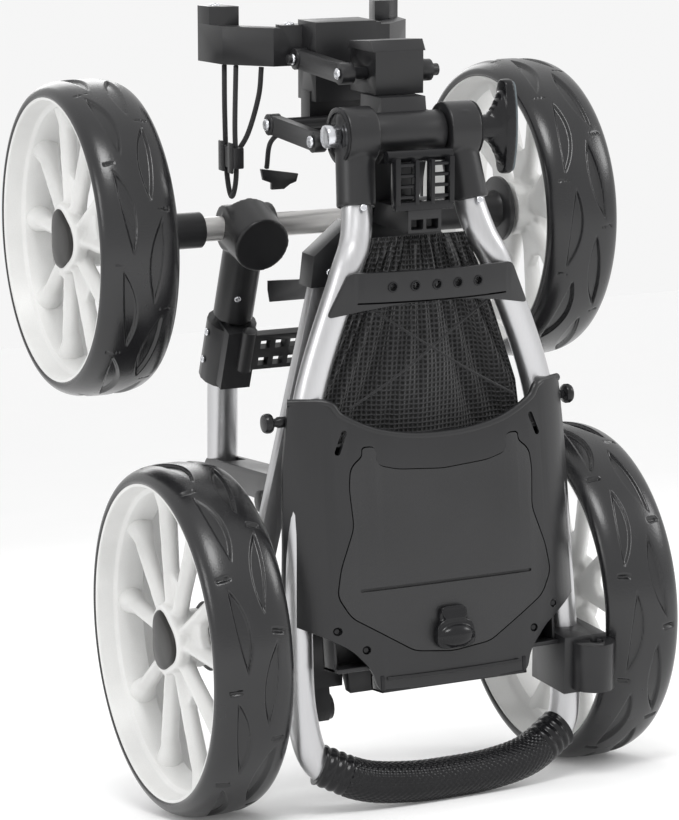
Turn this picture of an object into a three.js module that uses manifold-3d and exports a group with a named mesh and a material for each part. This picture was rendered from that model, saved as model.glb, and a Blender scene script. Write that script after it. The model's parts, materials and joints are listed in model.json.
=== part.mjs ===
// Four-wheel golf push cart, folded and standing on its rear wheels and its handle grip.
// Units are millimetres. +X runs along the wheel axles to the right, -Y is the handle side
// and +Z is up. All sizes are measured from the middle of the rear axle; the last lines
// lean the whole cart forward until the grip touches the floor.
import * as THREE from 'three';
import { mergeVertices } from 'three/addons/utils/BufferGeometryUtils.js';
import Module from 'manifold-3d';

const wasm = await Module();
wasm.setup();

// ---------- driving dimensions ----------
const GAP = 0.4;

const REAR = { x: 176, y: 0, z: 0, tyreR: 146, rimR: 133, halfWidth: 34 };
const FRONT = { x: 204, y: 149, z: 314, tyreR: 133, rimR: 121, halfWidth: 34 };
const HUB_R = 25;
const SPOKE_PAIRS = 5;
const AXLE_R = 10.5;

const STRUT_X = 58;
const STRUT_FOOT = { y: 208, z: 86 };
const STRUT_KNEE = { y: 205, z: 170 };
const STRUT_R = 13.5;
const INNER_R = 11;
// Distances along the strut, measured up from its knee.
const CLAMP_AT = 31;
const SLEEVE_START = 65;

const LEG_TOP = { x: 54, y: 6, z: 292 };
const LEG_FOOT = { x: 122, y: 2, z: 4 };

// The handle, the hinge and the cradle are drawn about a datum of their own.
const HINGE_DATUM = { y: 15, z: -4 };
const HINGE = { y: -56, z: 418 };
const BARREL_R = 17;
const SHAFT_R = 5;
const BOSS_IN = 32;
const BOSS_OUT = 59;

const HANDLE_R = 12.5;
const GRIP_R = 17;
const HANDLE_HALF = [
  [46, -57, 405],
  [50, -70, 365],
  [57, -81, 335],
  [70, -87, 306],
  [103, -92, 212],
  [116, -100, 110],
  [121, -110, 10],
  [121, -119, -43],
  [110, -127, -80],
  [76, -137, -95],
  [38, -143, -100],
  [0, -144, -101],
];
const GRIP_HALF = HANDLE_HALF.slice(8);

const CONSOLE = { y: -142, z: -5, lean: 8.2 };
const CONSOLE_HALF = 133;
const CONSOLE_DEPTH = 52;
const WALL = 3.4;

const LINK_REACH = { y: 88, z: 4 };
const UPPER_PIVOT = { y: -17, z: 463 };
const LOWER_PIVOT = { y: -30, z: 411 };

// ---------- finishes ----------
const FINISH = {
  plastic: { color: 0x2b2b2c, roughness: 0.5, metalness: 0 },
  tube: { color: 0xc6c7c9, roughness: 0.3, metalness: 1 },
  rim: { color: 0xeeeeec, roughness: 0.35, metalness: 0 },
  tyre: { color: 0x303031, roughness: 0.45, metalness: 0 },
  rubber: { color: 0x141415, roughness: 0.25, metalness: 0 },
  mesh: { color: 0x1a1a1b, roughness: 0.9, metalness: 0 },
  steel: { color: 0xb5b7ba, roughness: 0.3, metalness: 1 },
};

// ---------- solids ----------
function toManifold(geometry) {
  const bare = geometry.clone();
  bare.deleteAttribute('normal');
  bare.deleteAttribute('uv');
  const merged = mergeVertices(bare, 1e-4);
  const mesh = new wasm.Mesh({
    numProp: 3,
    vertProperties: new Float32Array(merged.attributes.position.array),
    triVerts: new Uint32Array(merged.index.array),
  });
  return new wasm.Manifold(mesh);
}

function toGeometry(manifold) {
  const mesh = manifold.getMesh();
  const geometry = new THREE.BufferGeometry();
  geometry.setAttribute('position', new THREE.BufferAttribute(new Float32Array(mesh.vertProperties), 3));
  geometry.setIndex(new THREE.BufferAttribute(new Uint32Array(mesh.triVerts), 1));
  const flat = geometry.toNonIndexed();
  flat.computeVertexNormals();
  return flat;
}

function join(...geometries) {
  return toGeometry(geometries.map(toManifold).reduce((whole, piece) => whole.add(piece)));
}

function cut(body, ...tools) {
  return toGeometry(tools.map(toManifold).reduce((whole, tool) => whole.subtract(tool), toManifold(body)));
}

function common(a, b) {
  return toGeometry(toManifold(a).intersect(toManifold(b)));
}

function box(low, high) {
  const size = high.map((value, i) => value - low[i]);
  const middle = high.map((value, i) => (value + low[i]) / 2);
  return new THREE.BoxGeometry(...size).translate(...middle);
}

function rod(from, to, radius, sides = 16, endRadius = radius) {
  const a = new THREE.Vector3(...from);
  const b = new THREE.Vector3(...to);
  const along = b.clone().sub(a);
  const geometry = new THREE.CylinderGeometry(endRadius, radius, along.length(), sides);
  const turn = new THREE.Quaternion().setFromUnitVectors(new THREE.Vector3(0, 1, 0), along.normalize());
  return geometry.applyQuaternion(turn).translate(...a.add(b).multiplyScalar(0.5).toArray());
}

function rodX(x0, x1, place, radius, sides = 16, endRadius = radius) {
  return rod([x0, place.y, place.z], [x1, place.y, place.z], radius, sides, endRadius);
}

function outline(points) {
  return new THREE.Shape(points.map(([a, b]) => new THREE.Vector2(a, b)));
}

// An outline in Y and Z, given its thickness along X.
function plateX(points, x0, x1) {
  const geometry = new THREE.ExtrudeGeometry(outline(points), { depth: x1 - x0, bevelEnabled: false });
  const basis = new THREE.Matrix4().makeBasis(
    new THREE.Vector3(0, 1, 0), new THREE.Vector3(0, 0, 1), new THREE.Vector3(1, 0, 0));
  return geometry.applyMatrix4(basis).translate(x0, 0, 0);
}

// An outline in X and Z, given its thickness along Y.
function plateY(points, y0, y1) {
  const geometry = new THREE.ExtrudeGeometry(outline(points), { depth: y1 - y0, bevelEnabled: false });
  return geometry.rotateX(Math.PI / 2).translate(0, y1, 0);
}

// An outline in X and Y, given its thickness along Z.
function plateZ(points, z0, z1) {
  const geometry = new THREE.ExtrudeGeometry(outline(points), { depth: z1 - z0, bevelEnabled: false });
  return geometry.translate(0, 0, z0);
}

// A round bar along a smooth line through the points.
function sweep(points, radius, steps, sides = 12) {
  const path = new THREE.CatmullRomCurve3(points.map((p) => new THREE.Vector3(...p)));
  const ring = [];
  for (let i = 0; i < sides; i += 1) {
    const turn = ((i + 0.5) / sides) * Math.PI * 2;
    ring.push([radius * Math.cos(turn), radius * Math.sin(turn)]);
  }
  return new THREE.ExtrudeGeometry(outline(ring), { steps, extrudePath: path });
}

// A turned ring or bush about the X axis, from a closed outline of [radius, distance] points.
function turned(profile, segments = 40) {
  const closed = [...profile, profile[0]].map(([r, s]) => new THREE.Vector2(r, s));
  const ring = new THREE.LatheGeometry(closed, segments);
  return ring.rotateZ(-Math.PI / 2);
}

// The volume's sign says whether the faces look out; a turned ring may come inside out.
function faceOut(geometry) {
  const at = geometry.attributes.position;
  const index = geometry.index ? geometry.index.array : [...Array(at.count).keys()];
  const corner = (i) => new THREE.Vector3().fromBufferAttribute(at, index[i]);
  let volume = 0;
  for (let i = 0; i < index.length; i += 3) {
    volume += corner(i).dot(corner(i + 1).cross(corner(i + 2)));
  }
  if (volume > 0) {
    return geometry;
  }
  const turnedRound = geometry.toNonIndexed();
  const p = turnedRound.attributes.position.array;
  for (let i = 0; i < p.length; i += 9) {
    for (let k = 0; k < 3; k += 1) {
      [p[i + 3 + k], p[i + 6 + k]] = [p[i + 6 + k], p[i + 3 + k]];
    }
  }
  turnedRound.deleteAttribute('normal');
  turnedRound.computeVertexNormals();
  return turnedRound;
}

// ---------- assembly ----------
const cart = new THREE.Group();

const hingeSide = new THREE.Group();
hingeSide.position.set(0, HINGE_DATUM.y, HINGE_DATUM.z);
cart.add(hingeSide);

function add(name, finish, geometry, group = cart) {
  const mesh = new THREE.Mesh(faceOut(geometry), new THREE.MeshStandardMaterial(FINISH[finish]));
  mesh.name = name;
  group.add(mesh);
}

function addHingeSide(name, finish, geometry) {
  add(name, finish, geometry, hingeSide);
}

const SIDES = [['left', -1], ['right', 1]];
const mirrored = (points, side) => points.map(([x, y, z]) => [x * side, y, z]);

// ---------- wheels ----------
function tyreSolid(wheel) {
  const { tyreR, rimR, halfWidth } = wheel;
  return faceOut(turned([
    [rimR + GAP, -halfWidth + 2],
    [tyreR - 3, -halfWidth + 8],
    [tyreR, 0],
    [tyreR - 3, halfWidth - 8],
    [rimR + GAP, halfWidth - 2],
    [rimR + GAP, halfWidth - 7],
    [tyreR - 6, halfWidth - 14],
    [tyreR - 6, -halfWidth + 14],
    [rimR + GAP, -halfWidth + 7],
  ], 30));
}

function rimSolid(wheel) {
  const { rimR, halfWidth } = wheel;
  const barrelR = rimR - 3.5;
  const ring = faceOut(turned([
    [rimR, -halfWidth + 3],
    [rimR, halfWidth - 3],
    [barrelR, halfWidth - 3],
    [barrelR, -halfWidth + 3],
  ], 30));
  const hub = rod([-9, 0, 0], [21, 0, 0], HUB_R, 14, HUB_R - 4);
  const arms = [];
  for (let i = 0; i < SPOKE_PAIRS; i += 1) {
    for (const lean of [-1, 1]) {
      const middle = ((i + 0.25) / SPOKE_PAIRS) * Math.PI * 2;
      const root = middle + lean * THREE.MathUtils.degToRad(12);
      const tip = middle + lean * THREE.MathUtils.degToRad(17.5);
      const at = (turn, radius, s) => [s, radius * Math.cos(turn), radius * Math.sin(turn)];
      arms.push(rod(at(root, 14, 11), at(tip, barrelR + 2, 3), 8, 4, 5.5));
    }
  }
  const bore = rod([-20, 0, 0], [40, 0, 0], AXLE_R + GAP, 16);
  return cut(join(ring, hub, ...arms), bore);
}

function hubCapSolid() {
  return join(rod([21 + GAP, 0, 0], [23.5, 0, 0], 20, 16), rod([23, 0, 0], [25, 0, 0], 18, 16, 13));
}

for (const [end, wheel] of [['rear', REAR], ['front', FRONT]]) {
  for (const [sideName, side] of SIDES) {
    const outward = side > 0 ? 0 : Math.PI;
    const place = (geometry) => geometry.rotateZ(outward).translate(side * wheel.x, wheel.y, wheel.z);
    add(`${end}_tyre_${sideName}`, 'tyre', place(tyreSolid(wheel)));
    add(`${end}_rim_${sideName}`, 'rim', place(rimSolid(wheel)));
    add(`${end}_hub_cap_${sideName}`, 'plastic', place(hubCapSolid()));
  }
}

// The flanged collars sit on the axles inside each wheel.
function collarSolid(wheel, side, inner) {
  const flange = wheel.x - 19;
  const bush = join(
    rodX(side * inner, side * (flange + 1), wheel, 15.5, 16),
    rodX(side * flange, side * (flange + 6), wheel, 29, 24),
  );
  return cut(bush, rodX(side * (inner - 5), side * (flange + 20), wheel, AXLE_R + GAP, 16));
}

// ---------- rear frame ----------
const axleEnd = (wheel) => wheel.x + 15;
add('rear_axle', 'tube', rodX(-axleEnd(REAR), axleEnd(REAR), REAR, AXLE_R, 16));
for (const [name, side] of SIDES) {
  add(`rear_collar_${name}`, 'plastic', collarSolid(REAR, side, 134));
}

for (const [name, side] of SIDES) {
  const top = [side * LEG_TOP.x, LEG_TOP.y, LEG_TOP.z];
  const foot = [side * LEG_FOOT.x, LEG_FOOT.y, LEG_FOOT.z];
  const blade = plateY([
    [top[0] - 9, top[2]],
    [top[0] + 9, top[2]],
    [foot[0] + 9, foot[2]],
    [foot[0] - 9, foot[2]],
  ], -3, 9);
  const lug = rodX(side * 111, side * 133, REAR, 17, 16);
  const bore = rodX(side * 90, side * 150, REAR, AXLE_R + GAP, 16);
  add(`frame_leg_${name}`, 'tube', cut(join(blade, lug), bore));
}

const ARM_Z = 104;
const BAR_Y = 20;
add('frame_cross_bar', 'plastic', rodX(-105, 105, { y: BAR_Y, z: ARM_Z }, 9.5, 14));

// Each arm reaches back from the cross bar and forks round the foot of one strut.
for (const [name, side] of SIDES) {
  const x = side * STRUT_X;
  const beam = plateX([
    [8, ARM_Z - 14],
    [8, ARM_Z + 14],
    [40, ARM_Z + 12],
    [STRUT_FOOT.y + 4, STRUT_FOOT.z + 11],
    [STRUT_FOOT.y + 14, STRUT_FOOT.z],
    [STRUT_FOOT.y + 4, STRUT_FOOT.z - 11],
    [40, ARM_Z - 14],
  ], x - 14, x + 14);
  const fork = box(
    [x - 9.5 - GAP, STRUT_FOOT.y - 32, STRUT_FOOT.z - 40],
    [x + 9.5 + GAP, STRUT_FOOT.y + 40, STRUT_FOOT.z + 40],
  );
  const bar = rodX(x - 40, x + 40, { y: BAR_Y, z: ARM_Z }, 9.5 + GAP, 14);
  add(`pivot_arm_${name}`, 'plastic', cut(beam, fork, bar));
}

// The top bracket caps both legs, and its neck rises forward to the handle hinge.
const bracket = join(
  plateY([[-69, 286], [-66, 312], [-34, 338], [34, 338], [66, 312], [69, 286], [42, 286], [24, 308], [-24, 308],
    [-42, 286]], -8, 16).translate(0, -HINGE_DATUM.y, -HINGE_DATUM.z),
  plateX([[-20, 314], [0, 314], [0, 352], [-26, 400], [-48, 400], [-40, 372], [-20, 338]], -24, 24),
  rodX(-30, 30, HINGE, BARREL_R, 20),
  plateX([[-60, 402], [-30, 380], [-10, 402], [-14, 446], [-52, 446]], -20, 20),
  rodX(-73, 73, LOWER_PIVOT, 3, 10),
);
const legSocket = (side) => plateY([
  [side * LEG_TOP.x - 9 - GAP, LEG_TOP.z + GAP],
  [side * LEG_TOP.x + 9 + GAP, LEG_TOP.z + GAP],
  [side * (LEG_TOP.x + 6) + 9 + GAP, LEG_TOP.z - 30],
  [side * (LEG_TOP.x + 6) - 9 - GAP, LEG_TOP.z - 30],
], -3 - GAP, 9 + GAP).translate(0, -HINGE_DATUM.y, -HINGE_DATUM.z);
addHingeSide('frame_top_bracket', 'plastic', cut(bracket, faceOut(legSocket(-1)), faceOut(legSocket(1)),
  rodX(-60, 60, HINGE, SHAFT_R + GAP, 16)));

addHingeSide('hinge_bolt', 'steel', join(
  rodX(-66, 64, HINGE, SHAFT_R, 12),
  rodX(-72, -60 - GAP, HINGE, 9.5, 12),
));
addHingeSide('hinge_catch', 'plastic', cut(
  plateX([[-92, 341], [-92, 360], [-33.6, 360], [-24, 341]], -15, 15),
  box([-12, -100, 344], [-1.5, -80, 352]),
  box([1.5, -100, 344], [12, -80, 352]),
));

// The head stands on the neck and carries the front pivots of the cradle's four links.
const head = join(
  box([-17, -36, 446 + GAP], [26, 12, 482]),
  plateX([[-36, 481], [12, 481], [10, 487], [-30, 490]], -19, 28),
);
addHingeSide('frame_head', 'plastic', cut(head,
  rodX(-60, 60, UPPER_PIVOT, 5 + GAP, 16)));

// ---------- lower bracket with the bag base arm, and its lever ----------
add('lower_bracket', 'plastic', cut(
  join(
    box([-71, 8, -62], [-33, 34, 16]),
    plateX([[10, 20], [34, 20], [34, -6], [46, -60], [48, -92], [40, -100], [26, -98], [22, -86], [30, -50],
      [10, -20]], -51, -37),
    rodX(-67, -33, { y: 35, z: -88 }, 11.5, 16),
  ),
  rodX(-90, 0, REAR, AXLE_R + GAP, 16),
));
const BRAKE_PIVOT = { y: 21, z: -18 };
add('brake_lever', 'plastic', join(
  rodX(-33 + GAP, -8, BRAKE_PIVOT, 8, 14),
  plateX([[13, -18], [27, -14], [22, -40], [6, -66], [-4, -66], [4, -40]], -31, -9),
));

// ---------- rest arm that the left strut folds back against ----------
add('strut_rest', 'plastic', join(
  rodX(-54, -34, { y: 25, z: 280 }, 8, 14),
  plateX([[20, 272], [120, 252], [124, 262], [124, 270], [20, 288]], -50, -40),
));

// ---------- front fork ----------
const strutAxis = new THREE.Vector3(0, FRONT.y - STRUT_KNEE.y, FRONT.z - STRUT_KNEE.z);
const strutLength = strutAxis.length();
strutAxis.normalize();
const alongStrut = (x, distance) => [
  x,
  STRUT_KNEE.y + strutAxis.y * distance,
  STRUT_KNEE.z + strutAxis.z * distance,
];
const strutLean = Math.atan2(-strutAxis.y, strutAxis.z);
// Moves a shape drawn about the strut's own axis, with its knee at the origin, on to the strut.
const onStrut = (geometry, x) => geometry.rotateX(strutLean).translate(x, STRUT_KNEE.y, STRUT_KNEE.z);
const KNEE_OVERLAP = 2.4;

for (const [name, side] of SIDES) {
  const x = side * STRUT_X;
  const eye = rodX(x - 9, x + 9, STRUT_FOOT, 11, 14);
  const lower = rod([x, STRUT_FOOT.y, STRUT_FOOT.z + 17], [x, STRUT_KNEE.y, STRUT_KNEE.z + KNEE_OVERLAP], STRUT_R);
  const upper = rod(alongStrut(x, -KNEE_OVERLAP), alongStrut(x, CLAMP_AT + 22), STRUT_R);
  const bore = join(
    rod(alongStrut(x, -KNEE_OVERLAP), alongStrut(x, CLAMP_AT + 40), INNER_R + GAP),
    rod([x, STRUT_FOOT.y, STRUT_FOOT.z + 34], [x, STRUT_KNEE.y, STRUT_KNEE.z + KNEE_OVERLAP], INNER_R - 1),
  );
  const neck = rod([x, STRUT_FOOT.y, STRUT_FOOT.z], [x, STRUT_FOOT.y, STRUT_FOOT.z + 30], 8.8, 12);
  add(`strut_tube_${name}`, 'tube', cut(join(eye, neck, lower, upper), bore));

  const clampBody = join(
    rod([0, 0, CLAMP_AT - 28], [0, 0, CLAMP_AT + 29], 22, 16),
    box([-14, -27, CLAMP_AT - 25], [14, 0, CLAMP_AT + 32]),
  );
  const clampBore = join(
    rod([0, 0, CLAMP_AT - 40], [0, 0, CLAMP_AT + 23], STRUT_R + GAP, 16),
    rod([0, 0, CLAMP_AT + 18], [0, 0, CLAMP_AT + 40], INNER_R + 1.5, 16),
  );
  add(`strut_clamp_${name}`, 'plastic', onStrut(cut(clampBody, clampBore), x));

  const slots = [];
  for (let row = 0; row < 2; row += 1) {
    for (let column = 0; column < 3; column += 1) {
      const left = 12 + column * 14;
      const low = CLAMP_AT + 5 + row * 17;
      slots.push(box([left, -50, low], [left + 9, -20, low + 8]));
    }
  }
  const lever = cut(
    join(
      rod([2, -34, CLAMP_AT - 1], [2, -34, CLAMP_AT + 38], 6.5, 14),
      box([2, -39, CLAMP_AT + 1], [56, -31, CLAMP_AT + 36]),
    ),
    ...slots,
  );
  add(`clamp_lever_${name}`, 'plastic', onStrut(lever, x));
}

// ---------- sliding front axle ----------
for (const [name, side] of SIDES) {
  const x = side * STRUT_X;
  const innerEnd = strutLength - AXLE_R - 9;
  add(`inner_tube_${name}`, 'tube', cut(
    rod(alongStrut(x, 5), alongStrut(x, innerEnd), INNER_R, 14),
    rod(alongStrut(x, 2), alongStrut(x, innerEnd - 3), INNER_R - 2, 10)));
  const tee = join(
    rod(alongStrut(x, SLEEVE_START), alongStrut(x, strutLength), 17.5, 14),
    rodX(x - 22, x + 22, FRONT, 20, 14),
    rod([x, FRONT.y + 4, FRONT.z + 1], [x, 115, FRONT.z - 12], 26, 16, 24),
  );
  add(`tee_joint_${name}`, 'plastic', cut(tee,
    rodX(x - 40, x + 40, FRONT, AXLE_R + GAP, 16),
    rod([x, FRONT.y, FRONT.z], [x, 119, FRONT.z - 11], 19, 10),
    rod(alongStrut(x, 40), alongStrut(x, strutLength - AXLE_R - 7), INNER_R + GAP, 16)));
  add(`front_collar_${name}`, 'plastic', collarSolid(FRONT, side, 101));
}
add('front_axle', 'tube', cut(
  rodX(-axleEnd(FRONT), axleEnd(FRONT), FRONT, AXLE_R, 16),
  rodX(-axleEnd(FRONT) - 1, axleEnd(FRONT) + 1, FRONT, AXLE_R - 2, 12)));

// ---------- handle ----------
const handlePath = [...mirrored(HANDLE_HALF, -1), ...HANDLE_HALF.slice(0, -1).reverse()];
const gripPath = [...mirrored(GRIP_HALF, -1), ...GRIP_HALF.slice(0, -1).reverse()];
const handleClear = (radius) => sweep(handlePath, radius, 44, 10);
addHingeSide('handle_tube', 'tube', sweep(handlePath, HANDLE_R, 44, 10));
addHingeSide('handle_grip', 'rubber', cut(sweep(gripPath, GRIP_R, 16, 12), handleClear(HANDLE_R + GAP)));

for (const [name, side] of SIDES) {
  const socket = join(
    rodX(side * BOSS_IN, side * BOSS_OUT, HINGE, 23.5, 18),
    rod([side * 46, HINGE.y - 1, 405], [side * 51, -71, 362], 16, 12, 15.5),
    box([side * 46 - 12, -70, 402], [side * 46 + 12, -44, 436]),
  );
  addHingeSide(`handle_socket_${name}`, 'plastic', cut(socket,
    handleClear(HANDLE_R + GAP),
    rodX(side * 20, side * 80, HINGE, SHAFT_R + GAP, 16)));
}

addHingeSide('angle_knob', 'plastic', cut(
  join(
    rodX(BOSS_OUT + GAP, 84, HINGE, 11, 16),
    plateX([
      [HINGE.y - 6, HINGE.z + 39],
      [HINGE.y + 6, HINGE.z + 39],
      [HINGE.y + 13, HINGE.z + 20],
      [HINGE.y + 13, HINGE.z - 20],
      [HINGE.y + 6, HINGE.z - 39],
      [HINGE.y - 6, HINGE.z - 39],
      [HINGE.y - 13, HINGE.z - 20],
      [HINGE.y - 13, HINGE.z + 20],
    ], 84, 97),
    plateX([
      [HINGE.y - 4, HINGE.z + 26],
      [HINGE.y + 4, HINGE.z + 26],
      [HINGE.y + 9, HINGE.z],
      [HINGE.y + 4, HINGE.z - 26],
      [HINGE.y - 4, HINGE.z - 26],
      [HINGE.y - 9, HINGE.z],
    ], 74, 85),
  ),
  rodX(40, 66, HINGE, SHAFT_R + GAP, 16),
));

// The locking lever is a ribbed frame below the barrel, hung between the two bosses.
const LEVER_PIVOT = { y: -80, z: 402 };
const leverWindows = [];
for (let row = 0; row < 3; row += 1) {
  for (const side of [-1, 1]) {
    const low = 368 + row * 9.5;
    leverWindows.push(box([side > 0 ? 10 : -22, -110, low], [side > 0 ? 22 : -10, -60, low + 7]));
  }
}
addHingeSide('hinge_lock_lever', 'plastic', cut(
  join(box([-26, -91, 364], [26, -84, 402]), rodX(-29, 29, LEVER_PIVOT, 5, 12)),
  ...leverWindows,
));

// Plate across the tubes with its five peg holes.
const pegHoles = [-38, -19, 0, 19, 38].map((x) => rod([x, -125, 301], [x, -80, 301], 2.6, 10));
const teeBow = (x, y) => [x, y + 15 * (x / 90) ** 2];
const teeXs = [-92, -69, -46, -23, 0, 23, 46, 69, 92];
const teeBand = plateZ([
  ...teeXs.map((x) => teeBow(x, -115)),
  ...teeXs.toReversed().map((x) => teeBow(x, -110.5)),
], 270, 320);
const teeOutline = faceOut(plateY(
  [[-73, 315], [73, 315], [90, 279], [60, 286], [0, 290], [-60, 286], [-90, 279]], -130, -80));
addHingeSide('tee_plate', 'plastic', cut(common(teeBand, teeOutline),
  handleClear(HANDLE_R + GAP), ...pegHoles));

// ---------- console ----------
// The console is drawn with its face upright, then leaned back about the face's lower edge.
const lean = THREE.MathUtils.degToRad(CONSOLE.lean);
const onConsole = (geometry) => geometry.rotateX(-lean).translate(0, CONSOLE.y, CONSOLE.z);

function crown(x) {
  return 34 * Math.abs(x / CONSOLE_HALF) ** 5;
}

// Cross-section of the face: outer side at depth, thickness inwards, between two half-widths.
function faceBand(front, back, half, count = 16) {
  const xs = Array.from({ length: count + 1 }, (_, i) => -half + (2 * half * i) / count);
  const outer = xs.map((x) => [x, front - 8 + crown(x)]);
  const inner = xs.map((x) => [x, back - 8 + crown(x)]).reverse();
  return [...outer, ...inner];
}

const shellOutline = [
  [-122, 224], [-94, 222], [-84, 210], [-60, 197], [-30, 190], [0, 188], [30, 190], [60, 197], [84, 210], [94, 222],
  [122, 224], [128, 170], [CONSOLE_HALF, 46], [112, 36], [88, 22], [72, 4], [67, -14], [-67, -14], [-72, 4],
  [-88, 22], [-112, 36], [-CONSOLE_HALF, 46], [-128, 170],
];
const lidHalf = [
  [0, 160], [40, 163], [58, 168], [58, 183], [70, 183], [70, 176], [80, 168], [82, 152], [80, 120], [92, 88],
  [96, 66], [86, 48], [60, 32], [34, 16], [0, 12],
];
const both = (half) => [...half, ...half.slice(1, -1).reverse().map(([x, z]) => [-x, z])];
const bandSolid = (front, back, half) => plateZ(faceBand(front, back, half), -20, 230);
const faceCut = common(bandSolid(0, WALL, CONSOLE_HALF), faceOut(plateY(shellOutline, -40, 120)));
const lidGap = [[-1, -1], [1, -1], [1, 1], [-1, 1]].map(([x, z]) => faceOut(plateY(both(lidHalf), -40, 20))
  .translate(x, 0, z));
const lidHole = join(...lidGap);
const rearWall = CONSOLE_DEPTH - 26;
const tray = join(
  box([-100.5, rearWall - 3, 4], [100.5, rearWall, 188]),
  box([-100.5, -6, 4], [100.5, rearWall, 7.5]),
  box([-100.5, -6, 185], [100.5, rearWall, 188]),
  box([-100.5, 1, 4], [-98, rearWall, 188]),
  box([98, 1, 4], [100.5, rearWall, 188]),
);
const lip = cut(box([-66, -8, -15], [66, 12, -2]), box([-60, -6, -20], [60, 4, -5]));
const faceWithHole = cut(faceCut, lidHole);
const shell = onConsole(join(faceWithHole, tray, lip));
addHingeSide('console_shell', 'plastic', cut(shell, handleClear(HANDLE_R + GAP)));

const lidBlank = common(bandSolid(0, WALL - GAP, CONSOLE_HALF), faceOut(plateY(both(lidHalf), -40, 20)));
addHingeSide('console_lid', 'plastic', onConsole(lidBlank));
addHingeSide('lid_latch', 'rubber', onConsole(join(
  box([-14, -15, 22], [14, -8 - GAP, 49]),
  plateX([[-8.6, 14], [-19, 16], [-22, 24], [-15, 40], [-8.6, 40]], -18, 18),
)));

for (const [name, side] of SIDES) {
  addHingeSide(`side_knob_${name}`, 'plastic', join(
    rodX(side * 119.6, side * 134, { y: -86, z: 196 }, 4.5, 12),
    rodX(side * 133, side * 140, { y: -86, z: 196 }, 8, 14),
  ));
}

addHingeSide('accessory_clamp', 'plastic', cut(
  join(
    box([101, -152, -42], [140, -97, 6]),
    rod([126, -155, -38], [126, -155, 2], 18, 14),
  ),
  handleClear(HANDLE_R + GAP),
  rod([128, -157, -60], [128, -157, 20], 6, 10),
));

// Net pocket hung between the tubes above the console.
const bagFront = [[-56, 304], [56, 304], [92, 202], [-92, 202]];
addHingeSide('mesh_bag', 'mesh', cut(plateY(bagFront, -94, -52), handleClear(HANDLE_R + 2)));

// ---------- bag cradle on its four-bar linkage ----------
const rearPivot = (pivot) => ({ y: pivot.y + LINK_REACH.y, z: pivot.z + LINK_REACH.z });
function linkSolid(pivot, inner, outer) {
  const rear = rearPivot(pivot);
  const arms = [-1, 1].map((side) => join(
    rodX(side * inner, side * outer, pivot, 9, 14),
    rodX(side * inner, side * outer, rear, 9, 14),
    faceOut(plateX([
      [pivot.y, pivot.z - 8],
      [rear.y, rear.z - 8],
      [rear.y, rear.z + 8],
      [pivot.y, pivot.z + 8],
    ], side > 0 ? inner + 1 : -outer + 1, side > 0 ? outer - 1 : -inner - 1)),
  ));
  return arms;
}
const upperArms = linkSolid(UPPER_PIVOT, 30, 41);
addHingeSide('upper_link', 'plastic', cut(
  join(...upperArms, rodX(-32, 48, UPPER_PIVOT, 5, 12)),
  rodX(-60, 60, rearPivot(UPPER_PIVOT), 4 + GAP, 12)));
const lowerArms = linkSolid(LOWER_PIVOT, 61, 71);
addHingeSide('lower_link', 'plastic', cut(
  join(...lowerArms, rodX(-64, 64, rearPivot(LOWER_PIVOT), 5, 12)),
  rodX(-90, 90, LOWER_PIVOT, 3 + GAP, 10)));

const cradleTop = 492;
const cradleLow = 460;
const armPlan = [[40, 76], [54, 76], [86, 110], [92, 150], [81, 150], [76, 120], [44, 90]];
const tipTop = 507;
const tipPlan = [[64, 134], [78, 134], [89, 140], [92, 158], [70, 158]];
const cradle = join(
  rodX(-47, 47, rearPivot(UPPER_PIVOT), 4, 12),
  box([-29, 66, 404], [29, 84, 440]),
  box([-28, 56, 432], [28, 92, 498]),
  box([-46, 84, cradleLow], [46, 98, 494]),
  plateZ(armPlan.map(([x, y]) => [x, y + 8]), cradleLow, cradleTop),
  faceOut(plateZ(armPlan.map(([x, y]) => [-x, y + 8]), cradleLow, cradleTop)),
  plateZ(tipPlan, cradleTop - 8, tipTop),
  faceOut(plateZ(tipPlan.map(([x, y]) => [-x, y]), cradleTop - 8, tipTop)),
);
addHingeSide('bag_cradle', 'plastic', cradle);

// Elastic strap of the cradle: a loop that hangs from its left arm, and the pull tab.
const CORD_R = 2.2;
addHingeSide('strap_cord_left', 'rubber', join(
  sweep([[-82, 124, 458.9], [-87, 112, 420], [-88, 106, 370], [-88, 96, 351], [-88, 86, 370], [-88, 88, 410],
    [-76, 113, 458.9]], CORD_R, 18, 6),
  sweep([[-60, 96, 458.9], [-64, 93, 435], [-76, 88, 405], [-88, 86.5, 388]], CORD_R, 8, 6),
));
addHingeSide('strap_cord_right', 'rubber',
  sweep([[-18, 182, 360.6], [-19, 170, 385], [-12, 148, 398], [-4, 110, 408], [-2, 84.4, 412]], CORD_R, 10, 6));
addHingeSide('strap_handle', 'plastic', plateY([
  [-24, 360], [12, 354], [10, 347], [4, 345], [-2, 341], [-14, 341], [-14, 347], [-22, 350],
], 180, 184));

// ---------- stand the cart on its grip ----------
const gripMiddle = HANDLE_HALF[HANDLE_HALF.length - 1];
const gripY = gripMiddle[1] + HINGE_DATUM.y;
const gripZ = gripMiddle[2] + HINGE_DATUM.z;
const gripDown = Math.atan2(gripZ, gripY) + Math.PI;
const reach = Math.hypot(gripY, gripZ);
const standAngle = Math.asin((REAR.tyreR - GRIP_R) / reach) - gripDown;
cart.rotation.x = standAngle;
const part = new THREE.Group();
part.add(cart);
part.updateMatrixWorld(true);
const bounds = new THREE.Box3().setFromObject(part, true);
const centre = bounds.getCenter(new THREE.Vector3());
cart.position.set(-centre.x, -centre.y, -bounds.min.z);

export default part;
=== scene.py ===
# %% [markdown]
# A folding golf push cart stands folded on its two rear wheels and its handle grip. The packed
# model gives every part's place and motion; this script gives the parts their fine shapes and
# their finishes. It starts by loading that model as a fixed frame.

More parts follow.
